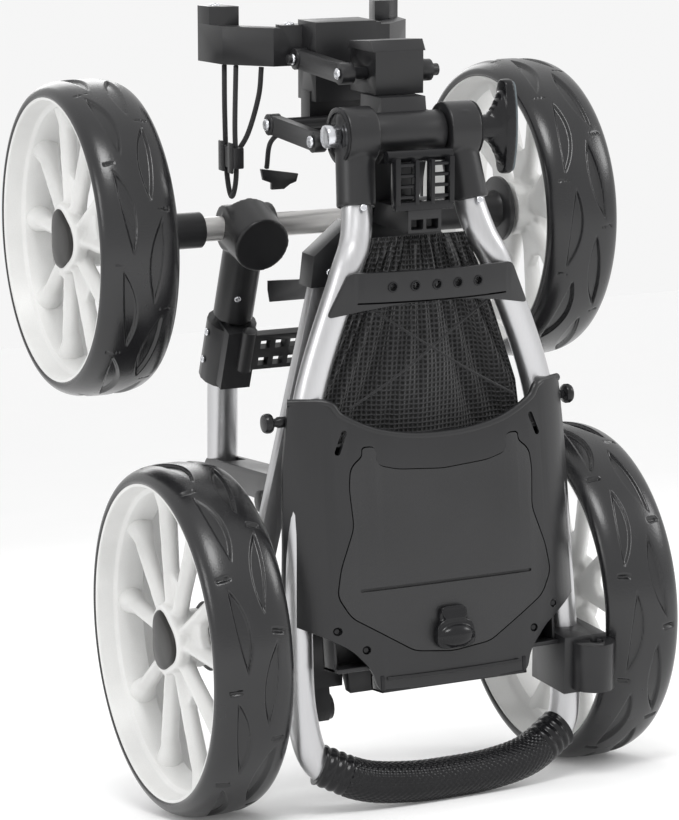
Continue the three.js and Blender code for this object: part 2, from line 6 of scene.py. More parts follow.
# %% Load the frame
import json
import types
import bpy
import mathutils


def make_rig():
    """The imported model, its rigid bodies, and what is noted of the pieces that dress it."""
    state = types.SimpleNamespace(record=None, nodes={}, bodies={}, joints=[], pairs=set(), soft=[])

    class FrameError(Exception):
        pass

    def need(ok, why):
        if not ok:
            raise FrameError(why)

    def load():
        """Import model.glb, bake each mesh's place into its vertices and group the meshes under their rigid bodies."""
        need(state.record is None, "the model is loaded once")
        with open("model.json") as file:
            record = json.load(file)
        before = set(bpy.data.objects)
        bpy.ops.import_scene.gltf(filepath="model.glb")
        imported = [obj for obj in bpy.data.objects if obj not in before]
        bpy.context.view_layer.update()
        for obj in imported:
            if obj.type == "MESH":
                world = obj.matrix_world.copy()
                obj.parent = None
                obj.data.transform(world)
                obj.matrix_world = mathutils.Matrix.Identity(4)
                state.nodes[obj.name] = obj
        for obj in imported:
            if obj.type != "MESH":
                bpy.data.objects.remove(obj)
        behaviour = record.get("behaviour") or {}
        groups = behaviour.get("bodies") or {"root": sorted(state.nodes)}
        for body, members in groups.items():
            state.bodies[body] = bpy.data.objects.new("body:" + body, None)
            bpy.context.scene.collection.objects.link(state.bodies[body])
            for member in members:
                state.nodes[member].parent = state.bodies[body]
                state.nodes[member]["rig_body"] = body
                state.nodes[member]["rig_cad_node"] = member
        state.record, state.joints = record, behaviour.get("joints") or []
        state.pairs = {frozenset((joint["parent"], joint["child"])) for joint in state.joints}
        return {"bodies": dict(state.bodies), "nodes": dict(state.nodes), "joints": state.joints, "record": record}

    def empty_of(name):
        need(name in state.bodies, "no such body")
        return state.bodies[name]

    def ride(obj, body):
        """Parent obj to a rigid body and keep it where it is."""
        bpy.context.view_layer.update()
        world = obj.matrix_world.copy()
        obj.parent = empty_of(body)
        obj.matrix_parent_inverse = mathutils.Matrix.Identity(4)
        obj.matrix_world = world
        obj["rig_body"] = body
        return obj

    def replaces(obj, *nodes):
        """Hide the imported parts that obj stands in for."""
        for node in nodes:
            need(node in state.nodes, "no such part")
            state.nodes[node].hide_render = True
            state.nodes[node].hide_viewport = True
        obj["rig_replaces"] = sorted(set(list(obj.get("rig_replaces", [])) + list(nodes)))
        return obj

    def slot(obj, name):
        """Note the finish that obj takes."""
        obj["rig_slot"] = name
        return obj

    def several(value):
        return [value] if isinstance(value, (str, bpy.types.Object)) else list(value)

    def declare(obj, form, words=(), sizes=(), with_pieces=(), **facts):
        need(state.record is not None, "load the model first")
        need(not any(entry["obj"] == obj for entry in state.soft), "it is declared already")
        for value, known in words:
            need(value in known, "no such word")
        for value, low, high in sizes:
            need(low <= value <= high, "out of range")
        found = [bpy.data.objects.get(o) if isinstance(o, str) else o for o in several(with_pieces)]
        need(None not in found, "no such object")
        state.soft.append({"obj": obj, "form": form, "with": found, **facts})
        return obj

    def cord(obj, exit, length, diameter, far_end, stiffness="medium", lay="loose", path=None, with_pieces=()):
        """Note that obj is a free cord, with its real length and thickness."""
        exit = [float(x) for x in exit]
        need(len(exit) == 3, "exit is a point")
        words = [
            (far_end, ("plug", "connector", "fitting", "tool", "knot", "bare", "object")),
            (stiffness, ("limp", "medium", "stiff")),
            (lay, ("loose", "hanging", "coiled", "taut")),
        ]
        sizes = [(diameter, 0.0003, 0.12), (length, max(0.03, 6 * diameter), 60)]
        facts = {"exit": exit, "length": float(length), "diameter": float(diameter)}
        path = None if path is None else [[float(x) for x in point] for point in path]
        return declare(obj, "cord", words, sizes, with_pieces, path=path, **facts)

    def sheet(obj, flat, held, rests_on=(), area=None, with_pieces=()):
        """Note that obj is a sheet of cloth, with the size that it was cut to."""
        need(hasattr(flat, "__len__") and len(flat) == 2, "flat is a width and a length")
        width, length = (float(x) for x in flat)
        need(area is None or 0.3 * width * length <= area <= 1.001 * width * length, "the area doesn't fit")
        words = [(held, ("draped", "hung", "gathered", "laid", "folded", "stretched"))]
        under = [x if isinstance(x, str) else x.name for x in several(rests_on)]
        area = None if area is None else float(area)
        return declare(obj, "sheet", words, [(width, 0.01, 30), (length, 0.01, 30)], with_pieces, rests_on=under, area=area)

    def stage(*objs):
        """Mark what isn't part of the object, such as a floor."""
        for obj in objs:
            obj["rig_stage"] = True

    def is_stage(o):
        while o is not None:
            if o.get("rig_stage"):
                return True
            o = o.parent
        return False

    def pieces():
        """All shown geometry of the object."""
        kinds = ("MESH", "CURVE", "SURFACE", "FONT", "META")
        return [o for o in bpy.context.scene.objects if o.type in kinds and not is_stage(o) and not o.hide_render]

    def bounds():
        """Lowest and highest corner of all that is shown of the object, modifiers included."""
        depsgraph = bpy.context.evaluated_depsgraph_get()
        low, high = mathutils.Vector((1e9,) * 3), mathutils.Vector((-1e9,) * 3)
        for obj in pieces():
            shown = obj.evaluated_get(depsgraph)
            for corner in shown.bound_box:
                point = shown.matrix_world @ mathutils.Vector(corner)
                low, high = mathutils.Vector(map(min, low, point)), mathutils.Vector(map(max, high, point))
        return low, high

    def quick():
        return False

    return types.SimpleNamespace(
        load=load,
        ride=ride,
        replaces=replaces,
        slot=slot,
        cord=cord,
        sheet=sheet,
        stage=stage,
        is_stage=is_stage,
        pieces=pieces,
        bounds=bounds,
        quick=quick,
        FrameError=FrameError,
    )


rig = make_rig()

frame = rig.load()

import json
import math

import bmesh
import bpy
import numpy as np
from mathutils import Matrix, Vector

cad_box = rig.bounds()
print("packed nodes:", len(frame["nodes"]))

# %% [markdown]
# The cart is easier to draw upright, in millimetres from the middle of the rear axle, than in the
# pose in which it stands. The two axle joints say how far it leans, so one matrix takes every
# upright drawing to its place. The hinge side, the console face and the struts get matrices of
# their own, because each of them is drawn about its own line.

# %% The drawing frames
FRONT_Y, FRONT_Z = 149, 314
KNEE_Y, KNEE_Z = 205, 170
STRUT_X = 58
CONSOLE_LEAN = math.radians(8.2)

joints = {joint["name"]: joint for joint in frame["joints"]}
rear_axle = Vector(joints["rear_wheel_left_spin"]["pos_m"])
between_axles = Vector(joints["front_wheel_left_spin"]["pos_m"]) - rear_axle
cart_lean = math.atan2(between_axles.z, between_axles.y) - math.atan2(FRONT_Z, FRONT_Y)

PLACE = Matrix.Translation((0, rear_axle.y, rear_axle.z)) @ Matrix.Rotation(cart_lean, 4, "X")
CART = PLACE @ Matrix.Scale(0.001, 4)
HINGE_SIDE = CART @ Matrix.Translation((0, 15, -4))
CONSOLE = HINGE_SIDE @ Matrix.Translation((0, -142, -5)) @ Matrix.Rotation(-CONSOLE_LEAN, 4, "X")
strut_lean = math.atan2(KNEE_Y - FRONT_Y, FRONT_Z - KNEE_Z)
SIDES = (("left", -1), ("right", 1))


def strut_frame(side):
    knee = Matrix.Translation((side * STRUT_X, KNEE_Y, KNEE_Z))
    return CART @ knee @ Matrix.Rotation(strut_lean, 4, "X")


def turned_out(side):
    """Half a turn for a piece on the left, because pieces are drawn facing right."""
    return Matrix.Rotation(math.pi, 4, "Z") if side < 0 else Matrix()


print(f"the cart leans {math.degrees(cart_lean):.1f} degrees on to its grip")

# %% [markdown]
# The camera comes first, so that every later step can be looked at. It stands to the left of the
# handle side and looks slightly down with a long lens, as a catalogue picture is taken.

# %% Camera
EYE = (-1070.3, -2203.2, 715.2)
EYE_RIGHT = Vector((0.9058, -0.4238, 0.0))
EYE_AHEAD = Vector((0.4139, 0.8846, -0.2149))
PICTURE_HEIGHT = 820
FOCAL_LENGTH = 3000

camera = bpy.data.objects.new("camera", bpy.data.cameras.new("camera"))
bpy.context.scene.collection.objects.link(camera)
bpy.context.scene.camera = camera
camera.data.lens = camera.data.sensor_width * FOCAL_LENGTH / PICTURE_HEIGHT
camera.data.clip_end = 1000
eye_axes = Matrix((EYE_RIGHT, EYE_RIGHT.cross(EYE_AHEAD), -EYE_AHEAD)).transposed().to_4x4()
camera.matrix_world = Matrix.Translation(CART @ Vector(EYE)) @ PLACE.to_3x3().to_4x4() @ eye_axes

print(f"lens {camera.data.lens:.1f} mm")

# %% [markdown]
# Every finish is worked out from the place on the surface, so that nothing is painted on a
# picture. The maths of a finish reads like ordinary Python: a small class holds a socket of the
# material, and adding or multiplying two of them adds the node that does it.

# %% Shader arithmetic


class Value:
    """A socket of a material; arithmetic on it adds Math nodes."""

    def __init__(self, tree, socket):
        self.tree = tree
        self.socket = socket

    def maths(self, operation, first, second):
        node = self.tree.nodes.new("ShaderNodeMath")
        node.operation = operation
        for slot, value in zip(node.inputs, (first, second)):
            connect(self.tree, value, slot)
        return Value(self.tree, node.outputs[0])

    def __add__(self, other):
        return self.maths("ADD", self, other)

    def __sub__(self, other):
        return self.maths("SUBTRACT", self, other)

    def __rsub__(self, other):
        return self.maths("SUBTRACT", other, self)

    def __mul__(self, other):
        return self.maths("MULTIPLY", self, other)

    def __truediv__(self, other):
        return self.maths("DIVIDE", self, other)

    def __pow__(self, other):
        return self.maths("POWER", self, other)

    __radd__ = __add__
    __rmul__ = __mul__

    def least(self, other):
        return self.maths("MINIMUM", self, other)

    def most(self, other):
        return self.maths("MAXIMUM", self, other)

    def sine(self):
        return self.maths("SINE", self, 0)

    def size(self):
        return self.maths("ABSOLUTE", self, 0)


def connect(tree, value, slot):
    if isinstance(value, Value):
        tree.links.new(value.socket, slot)
    else:
        slot.default_value = value


class Finish:
    """A material with one Principled shader, and a method that adds any other node."""

    def __init__(self, name, **look):
        self.material = bpy.data.materials.new(name)
        self.material.use_nodes = True
        self.tree = self.material.node_tree
        self.shader = self.tree.nodes["Principled BSDF"]
        self.shine(**look)

    def shine(self, **look):
        for name, value in look.items():
            connect(self.tree, value, self.shader.inputs[name.replace("_", " ")])

    def node(self, kind, inputs=None, output=0, stops=None, **settings):
        made = self.tree.nodes.new(kind)
        for name, value in settings.items():
            setattr(made, name, value)
        for place, colour in stops or ():
            made.color_ramp.elements.new(place).color = colour
        if stops:
            made.color_ramp.elements.remove(made.color_ramp.elements[0])
            made.color_ramp.elements.remove(made.color_ramp.elements[-1])
        for name, value in (inputs or {}).items():
            connect(self.tree, value, made.inputs[name])
        return Value(self.tree, made.outputs[output])

    def place(self, stretch=(1, 1, 1)):
        spot = self.node("ShaderNodeTexCoord", output="Object")
        return self.node("ShaderNodeMapping", {"Vector": spot, "Scale": stretch})

    def threads(self):
        """The two coordinates of the UV map, in millimetres."""
        spot = self.node("ShaderNodeUVMap", uv_map="UVMap")
        split = self.tree.nodes.new("ShaderNodeSeparateXYZ")
        self.tree.links.new(spot.socket, split.inputs[0])
        return Value(self.tree, split.outputs[0]), Value(self.tree, split.outputs[1])

    def noise(self, scale, detail=2.0, stretch=(1, 1, 1)):
        inputs = {"Vector": self.place(stretch), "Scale": scale, "Detail": detail}
        return self.node("ShaderNodeTexNoise", inputs)

    def blend(self, dark, light, share):
        """A colour between two; the Mix node's colour sockets are its inputs 6 and 7."""
        inputs = {0: share, 6: (*dark, 1), 7: (*light, 1)}
        return self.node("ShaderNodeMix", inputs, output=2, data_type="RGBA")

    def bump(self, height, depth, below=None):
        inputs = {"Height": height, "Distance": depth, "Strength": 1.0}
        if below is not None:
            inputs["Normal"] = below
        return self.node("ShaderNodeBump", inputs)


print("shader arithmetic ready")

# %% [markdown]
# Most of the cart is injection-moulded black plastic. A mould leaves a fine spark-eroded grain,
# the plastic's sheen drifts slowly from place to place, and handling leaves faint pale scuffs.
# The same recipe, with other numbers, makes the smoother and the coarser mouldings, the tyres'
# rubber and the white wheels.

# %% Plastic and rubber finishes


def moulded(name, colour, roughness, grain=0.00008, grain_scale=1500, scuff=0.25, shine=0.3):
    finish = Finish(name, Specular_IOR_Level=shine)
    drift = finish.noise(14, 3.0)
    specks = finish.noise(grain_scale, 1.5)
    scuffs = (finish.noise(90, 5.0, (1, 1, 0.35)) - 0.62).most(0) * 3
    shade = (drift * 0.7 + specks * 0.3 + scuffs * scuff).least(1)
    dark = [c * 0.78 for c in colour]
    light = [min(1, c * 1.3 + 0.004) for c in colour]
    finish.shine(
        Base_Color=finish.blend(dark, light, shade),
        Roughness=roughness + (drift - 0.5) * 0.14 + scuffs * 0.12,
        Normal=finish.bump(specks, grain),
    )
    return finish.material


plastic = moulded("black_plastic", (0.010, 0.010, 0.011), 0.34, shine=0.45)
lid_plastic = moulded("stippled_plastic", (0.014, 0.014, 0.015), 0.40,
                      grain=0.00022, grain_scale=900, shine=0.5)
smooth_plastic = moulded("smooth_plastic", (0.007, 0.007, 0.008), 0.24, grain=0.00002)
grey_plastic = moulded("knob_face_plastic", (0.10, 0.12, 0.13), 0.42, grain=0.0001)
cap_plastic = moulded("hub_cap_plastic", (0.012, 0.011, 0.010), 0.34, grain=0.00003)
white_plastic = moulded("white_wheel_plastic", (0.66, 0.66, 0.65), 0.36, grain=0.00004, scuff=0.0, shine=0.4)
tyre_rubber = moulded("tyre_rubber", (0.009, 0.009, 0.010), 0.25,
                      grain=0.00008, grain_scale=700, scuff=0.5, shine=0.55)
grip_rubber = moulded("grip_rubber", (0.006, 0.006, 0.007), 0.2, grain=0.00002, scuff=0.1)
print("moulded finishes made")

# %% [markdown]
# The tubes are drawn aluminium with a satin anodised skin. Drawing leaves hair-fine lines along
# the tube, so the noise that drives the roughness and the bump is stretched along it.

# %% Metal, cord and cloth finishes


def drawn_metal(name, colour, roughness, stretch):
    finish = Finish(name, Metallic=1.0)
    lines = finish.noise(1, 3.0, stretch)
    cloud = finish.noise(22, 2.0)
    finish.shine(
        Base_Color=finish.blend([c * 0.86 for c in colour], colour, lines * 0.6 + cloud * 0.4),
        Roughness=roughness + (lines - 0.5) * 0.16 + (cloud - 0.5) * 0.08,
        Normal=finish.bump(lines, 0.00003),
    )
    return finish.material


tube_metal = drawn_metal("anodised_tube", (0.60, 0.60, 0.61), 0.34, (900, 900, 30))
axle_metal = drawn_metal("anodised_axle", (0.62, 0.61, 0.60), 0.36, (30, 900, 900))
steel = drawn_metal("zinc_steel", (0.72, 0.73, 0.76), 0.24, (400, 400, 400))


def woven(name, colour, threads, sheen):
    """Threads that go over and under each other, on the piece's own UV map in millimetres."""
    finish = Finish(name, Sheen_Weight=sheen, Sheen_Roughness=0.5)
    along, across = finish.threads()
    weave = (along * threads).sine() * (across * threads).sine() * 0.5 + 0.5
    fuzz = finish.noise(1800, 3.0)
    dark = [c * 0.4 for c in colour]
    light = [c * 1.8 for c in colour]
    finish.shine(
        Base_Color=finish.blend(dark, light, weave * 0.7 + fuzz * 0.3),
        Roughness=0.86 - weave * 0.2,
        Normal=finish.bump(weave + fuzz * 0.3, 0.0004),
    )
    return finish


cord_cloth = woven("elastic_cord", (0.009, 0.009, 0.010), 4.2, 0.1).material
webbing_cloth = woven("webbing", (0.018, 0.018, 0.019), 2.6, 0.4).material
print("metal and cloth finishes made")

# %% [markdown]
# Every piece is drawn with mesh operators in one of the drawing frames and then put in its place
# by `finish_piece`. A few helpers add the shapes that repeat: a round bar, a block, a flat shape
# with a thickness and a turned ring.

# %% Shape helpers


def add_rod(mesh, start, end, radius, end_radius=None, sides=32):
    start, end = Vector(start), Vector(end)
    turn = (end - start).to_track_quat("Z", "Y").to_matrix().to_4x4()
    bmesh.ops.create_cone(
        mesh, cap_ends=True, segments=sides, radius1=radius, depth=(end - start).length,
        radius2=radius if end_radius is None else end_radius,
        matrix=Matrix.Translation((start + end) / 2) @ turn)


def add_box(mesh, low, high):
    low, high = Vector(low), Vector(high)
    size = Matrix.Diagonal((*(high - low), 1))
    bmesh.ops.create_cube(mesh, size=1, matrix=Matrix.Translation((low + high) / 2) @ size)


def add_slab(mesh, outline, low, high, normal="Y"):
    """A flat outline with a thickness from low to high along the axis named normal."""
    axis = "XYZ".index(normal)
    corners = []
    for a, b in outline:
        point = [a, b]
        point.insert(axis, low)
        corners.append(mesh.verts.new(point))
    face = mesh.faces.new(corners)
    lifted = bmesh.ops.extrude_face_region(mesh, geom=[face])["geom"]
    shift = Vector((0, 0, 0))
    shift[axis] = high - low
    tops = [v for v in lifted if isinstance(v, bmesh.types.BMVert)]
    bmesh.ops.translate(mesh, verts=tops, vec=shift)
    bmesh.ops.recalc_face_normals(mesh, faces=mesh.faces)


def rounded(points, radius, steps=5):
    """The outline with every corner turned into a short curve."""
    made = []
    for i, point in enumerate(points):
        corner = Vector(point)
        before = Vector(points[i - 1]) - corner
        after = Vector(points[(i + 1) % len(points)]) - corner
        reach = min(radius, before.length * 0.48, after.length * 0.48)
        first = corner + before.normalized() * reach
        last = corner + after.normalized() * reach
        for k in range(steps + 1):
            t = k / steps
            made.append((1 - t) ** 2 * first + 2 * t * (1 - t) * corner + t ** 2 * last)
    return [tuple(p) for p in made]


def add_turned(mesh, profile, steps=64):
    """A ring about the X axis from (radius, distance along X) points."""
    ring = [mesh.verts.new((along, radius, 0)) for radius, along in profile]
    pairs = [*zip(ring, ring[1:]), (ring[-1], ring[0])]
    edges = [mesh.edges.new(pair) for pair in pairs]
    bmesh.ops.spin(mesh, geom=ring + edges, cent=(0, 0, 0), axis=(1, 0, 0),
                   angle=math.tau, steps=steps, use_merge=True)
    bmesh.ops.remove_doubles(mesh, verts=mesh.verts, dist=0.01)
    bmesh.ops.recalc_face_normals(mesh, faces=mesh.faces)


def moved(mesh, verts, matrix):
    bmesh.ops.transform(mesh, matrix=matrix, verts=[v for v in verts if v.is_valid])


def soften(mesh, width, corner=35, segments=2):
    """Rounds every edge that is sharper than the corner angle, in degrees."""
    sharp = [e for e in mesh.edges
             if len(e.link_faces) == 2 and e.calc_face_angle(0) > math.radians(corner)]
    if sharp:
        bmesh.ops.bevel(mesh, geom=sharp, offset=width, offset_type="OFFSET", segments=segments,
                        profile=0.5, affect="EDGES", clamp_overlap=True, material=-1)


def shade(data, angle):
    """Smooth faces, with the edges sharper than the angle kept crisp."""
    mesh = bmesh.new()
    mesh.from_mesh(data)
    for face in mesh.faces:
        face.smooth = True
    for edge in mesh.edges:
        edge.smooth = len(edge.link_faces) != 2 or edge.calc_face_angle(0) < math.radians(angle)
    mesh.to_mesh(data)
    mesh.free()


def finish_piece(name, mesh, matrix, body, material, slot, replaces=(), angle=35):
    """Turns the drawn mesh into an object in its place, on its body, in its finish."""
    data = bpy.data.meshes.new(name)
    if isinstance(mesh, bmesh.types.BMesh):
        mesh.to_mesh(data)
        mesh.free()
    else:
        data = mesh
        data.name = name
    data.transform(matrix)
    data.materials.clear()
    data.materials.append(material)
    piece = bpy.data.objects.new(name, data)
    bpy.context.scene.collection.objects.link(piece)
    shade(data, angle)
    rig.ride(piece, body)
    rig.slot(piece, slot)
    if replaces:
        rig.replaces(piece, *replaces)
    return piece


def baked(piece):
    """The piece's mesh with its modifiers worked in; the piece itself is removed."""
    shape = piece.evaluated_get(bpy.context.evaluated_depsgraph_get())
    data = bpy.data.meshes.new_from_object(shape)
    bpy.data.objects.remove(piece)
    return data


def melted(mesh, voxel, smoothing=6):
    """One closed skin round everything in the mesh, with the inner corners filled as a mould fills them."""
    data = bpy.data.meshes.new("melt")
    mesh.to_mesh(data)
    mesh.free()
    piece = bpy.data.objects.new("melt", data)
    bpy.context.scene.collection.objects.link(piece)
    skin = piece.modifiers.new("skin", "REMESH")
    skin.mode = "VOXEL"
    skin.voxel_size = voxel
    ease = piece.modifiers.new("ease", "SMOOTH")
    ease.factor = 0.5
    ease.iterations = smoothing
    return baked(piece)


def mirrored(points):
    """A path given for the right half, joined to its mirror image on the left."""
    return [(-x, y, z) for x, y, z in points] + [tuple(p) for p in points[-2::-1]]


print("helpers ready")

# %% [markdown]
# Screws hold the mouldings together. Each one is a low domed head with a shallow pointed dent sunk
# into its top. They are all the same shape, so one function draws a head at any place, and
# another gathers many heads into one piece for each body.

# %% Screws


def add_screw(mesh, place, axis, radius=3.2, height=1.4):
    turn = Matrix.Translation(Vector(place)) @ Vector(axis).to_track_quat("Z", "Y").to_matrix().to_4x4()
    head = bmesh.new()
    profile = [(radius, 0), (radius, height * 0.45), (radius * 0.86, height * 0.85), (radius * 0.5, height)]
    rim = bmesh.ops.create_circle(head, cap_ends=False, segments=20, radius=profile[0][0])["verts"]
    loop = list({e for v in rim for e in v.link_edges})
    level = 0.0
    size = radius
    for next_size, next_level in profile[1:]:
        made = bmesh.ops.extrude_edge_only(head, edges=loop)["geom"]
        ring = [g for g in made if isinstance(g, bmesh.types.BMVert)]
        loop = [g for g in made if isinstance(g, bmesh.types.BMEdge)]
        bmesh.ops.scale(head, verts=ring, vec=(next_size / size, next_size / size, 1))
        bmesh.ops.translate(head, verts=ring, vec=(0, 0, next_level - level))
        size, level = next_size, next_level
    bmesh.ops.contextual_create(head, geom=loop)
    top = max(head.faces, key=lambda f: f.calc_center_median().z)
    cross = bmesh.ops.poke(head, faces=[top])["verts"]
    bmesh.ops.translate(head, verts=cross, vec=(0, 0, -height * 0.7))
    bmesh.ops.holes_fill(head, edges=[e for e in head.edges if e.is_boundary], sides=64)
    bmesh.ops.recalc_face_normals(head, faces=head.faces)
    bmesh.ops.transform(head, matrix=turn, verts=head.verts)
    data = bpy.data.meshes.new("screw")
    head.to_mesh(data)
    head.free()
    mesh.from_mesh(data)
    bpy.data.meshes.remove(data)


def screws(name, body, matrix, spots, material=None, radius=3.2):
    """A set of screw heads on one body; each spot is a place and the way it faces."""
    mesh = bmesh.new()
    for place, axis in spots:
        add_screw(mesh, place, axis, radius, radius * 0.45)
    return finish_piece(name, mesh, matrix, body, material or steel, "steel", angle=50)


print("screw heads ready")

# %% [markdown]
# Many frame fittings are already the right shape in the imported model, but with knife edges. A
# copy is merged into one surface, its flat triangles are joined into whole faces, and its edges
# are rounded, because no moulded edge is sharp.

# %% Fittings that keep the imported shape


def softened_copy(node, material, width=1.5, slot="black_plastic", angle=32, flat=2.0):
    mesh = bmesh.new()
    mesh.from_mesh(frame["nodes"][node].data)
    bmesh.ops.scale(mesh, verts=mesh.verts, vec=(1000, 1000, 1000))
    bmesh.ops.remove_doubles(mesh, verts=mesh.verts, dist=0.02)
    bmesh.ops.dissolve_limit(mesh, angle_limit=math.radians(flat), verts=mesh.verts, edges=mesh.edges)
    soften(mesh, width)
    body = frame["nodes"][node]["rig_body"]
    return finish_piece(node + "_body", mesh, Matrix.Scale(0.001, 4), body, material, slot, (node,), angle)


for node in ("frame_top_bracket", "frame_head", "hinge_catch", "pivot_arm_left", "pivot_arm_right",
             "strut_clamp_left", "strut_clamp_right", "clamp_lever_left", "clamp_lever_right", "strut_rest",
             "lower_bracket", "brake_lever", "accessory_clamp", "upper_link", "lower_link", "bag_cradle",
             "frame_cross_bar", "strap_handle"):
    softened_copy(node, plastic, width=0.6 if node in ("hinge_catch", "strap_handle") else 1.5)
softened_copy("hinge_bolt", steel, slot="steel")
for node in ("frame_leg_left", "frame_leg_right"):
    softened_copy(node, tube_metal, slot="silver_tube", width=1.2)
print("softened fittings made")

# %% [markdown]
# Tubes, cords and the grip are all one shape: a ring carried along a smooth line. The line is
# sampled at even steps, the ring is kept from twisting by turning it only as much as the line
# turns, and its radius may change along the way, which gives the grip its collars and its
# pattern. Each sweep also gets a UV map in millimetres: along the line and round the ring.

# %% Swept tubes


def smooth_line(points, spacing):
    """Points at even steps along a curve that passes smoothly through the given ones."""
    knots = np.array([points[0], *points, points[-1]], float)
    knots[0] = 2 * knots[1] - knots[2]
    knots[-1] = 2 * knots[-2] - knots[-3]
    line = []
    for a, b, c, d in zip(knots, knots[1:], knots[2:], knots[3:]):
        t = np.linspace(0, 1, 24, endpoint=False)[:, None]
        line.append(0.5 * (2 * b + (c - a) * t + (2 * a - 5 * b + 4 * c - d) * t ** 2
                           + (3 * b - a - 3 * c + d) * t ** 3))
    line = np.vstack([*line, knots[-2][None]])
    reach = np.concatenate([[0], np.cumsum(np.linalg.norm(np.diff(line, axis=0), axis=1))])
    count = max(2, int(round(reach[-1] / spacing)) + 1)
    even = np.linspace(0, reach[-1], count)
    return np.stack([np.interp(even, reach, line[:, k]) for k in range(3)], axis=1), even


def swept(points, radius, sides=24, spacing=4.0):
    """A closed tube along the points; radius is a number or a function of distance and angle."""
    line, reach = smooth_line(points, spacing)
    ahead = np.gradient(line, axis=0)
    ahead /= np.linalg.norm(ahead, axis=1)[:, None]
    side = np.cross(ahead[0], (0.31, 0.2, 0.93))
    turns = np.linspace(0, math.tau, sides, endpoint=False)
    mesh = bmesh.new()
    uv = mesh.loops.layers.uv.new("UVMap")
    rings = []
    for place, direction, run in zip(line, ahead, reach):
        side = side - direction * (side @ direction)
        side /= np.linalg.norm(side)
        up = np.cross(direction, side)
        size = radius(run, turns) if callable(radius) else np.full(sides, radius)
        ring = place + size[:, None] * (np.cos(turns)[:, None] * side + np.sin(turns)[:, None] * up)
        rings.append([mesh.verts.new(v) for v in ring])
    width = float(np.mean(size)) * math.tau
    for i in range(len(rings) - 1):
        for k in range(sides):
            n = (k + 1) % sides
            face = mesh.faces.new((rings[i][k], rings[i][n], rings[i + 1][n], rings[i + 1][k]))
            for loop, (u, v) in zip(face.loops, ((i, k), (i, k + 1), (i + 1, k + 1), (i + 1, k))):
                loop[uv].uv = (reach[u], v / sides * width)
    mesh.faces.new(rings[0][::-1])
    mesh.faces.new(rings[-1])
    bmesh.ops.recalc_face_normals(mesh, faces=mesh.faces)
    return mesh


def length_of(points):
    return float(smooth_line(points, 1.0)[1][-1]) / 1000


print("tube sweep ready")

# %% [markdown]
# The wheels come next. A tyre is a foam band with rounded shoulders, and its tread is two rows
# of leaf-shaped grooves that alternate along the circumference, each with a short bar past its
# end. The band is spun finely enough for the grooves to be pressed into it as real shape.

# %% Tyres
GROOVES = 10
LEAF_HALF_LENGTH = 37
LEAF_HALF_WIDTH = 6.2
GROOVE_DEPTH = 2.8
ROW_OFFSET = 14
TYRE_STEPS = 220 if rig.quick() else 760

WHEELS = {"rear": (176, 0, 0, 146, 133, 34), "front": (204, FRONT_Y, FRONT_Z, 133, 121, 34)}


def wheel_frame(end, side):
    x, y, z = WHEELS[end][:3]
    place = Matrix.Translation((side * x, y, z))
    return CART @ place @ turned_out(side)


def press(distance, softness=2.0):
    """1 well inside a shape, 0 outside it, with a soft wall between."""
    t = np.clip(distance / softness, 0, 1)
    return t * t * (3 - 2 * t)


def tread(across, round_at, tyre_radius):
    """How deep the tread is at each point, from the distance across and the angle round."""
    pitch = math.tau * tyre_radius / GROOVES
    depth = np.zeros_like(across)
    for row in (-1, 1):
        run = round_at * tyre_radius + (0 if row < 0 else pitch / 2)
        run = (run + pitch / 2) % pitch - pitch / 2
        along = run * math.cos(0.12) + row * (across - row * ROW_OFFSET) * math.sin(0.12)
        beside = (across - row * ROW_OFFSET) * math.cos(0.12) - row * run * math.sin(0.12)
        inside = 1 - (along / LEAF_HALF_LENGTH) ** 2
        bow = beside + row * 3.5 * inside
        leaf = press(LEAF_HALF_WIDTH * np.clip(inside, 0, 1) - np.abs(bow))
        bar = press(np.minimum(2.4 - np.abs(along - LEAF_HALF_LENGTH - 6), 6 - np.abs(beside)), 1.6)
        depth = np.maximum(depth, np.maximum(leaf, bar))
    return depth


def tyre(end, name, side):
    tyre_radius, rim_radius, half = WHEELS[end][3:]
    base = rim_radius + 0.3
    across = np.linspace(-1, 1, 49 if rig.quick() else 81)
    crown = (1 - np.abs(across) ** 3) ** 0.5
    profile = [(base + (tyre_radius - base) * c, half * t) for c, t in zip(crown, across)]
    lip = [(base - 2.2, half * 0.97), (base - 2.2, half * 0.9), (base, half * 0.86),
           (base, -half * 0.86), (base - 2.2, -half * 0.9), (base - 2.2, -half * 0.97)]
    mesh = bmesh.new()
    add_turned(mesh, profile + lip, steps=TYRE_STEPS)
    place = np.array([v.co for v in mesh.verts])
    radius = np.hypot(place[:, 1], place[:, 2])
    depth = tread(place[:, 0], np.arctan2(place[:, 2], place[:, 1]), tyre_radius)
    depth *= GROOVE_DEPTH * np.clip((radius - base) / 5, 0, 1)
    place[:, 1:] *= (1 - depth / radius)[:, None]
    for vert, spot in zip(mesh.verts, place):
        vert.co = spot
    finish_piece(f"{end}_tyre_{name}_tread", mesh, wheel_frame(end, side), f"{end}_wheel_{name}",
                 tyre_rubber, "tyre", (f"{end}_tyre_{name}",), 180)


for end in WHEELS:
    for name, side in SIDES:
        tyre(end, name, side)
print("tyres made, each of", TYRE_STEPS, "steps")

# %% [markdown]
# A rim is a white dish: a barrel with a rolled lip and a stepped ledge inside it, and five pairs
# of spokes that meet in a V at the hub. The spokes and the hub are melted into one skin, so that
# they flow into each other as a moulding does. The cap is a dark rounded triangle in a white
# collar.

# %% Rims and hub caps
SPOKE_PAIRS = 5
RIM_VOXEL = 3.2 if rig.quick() else 1.5


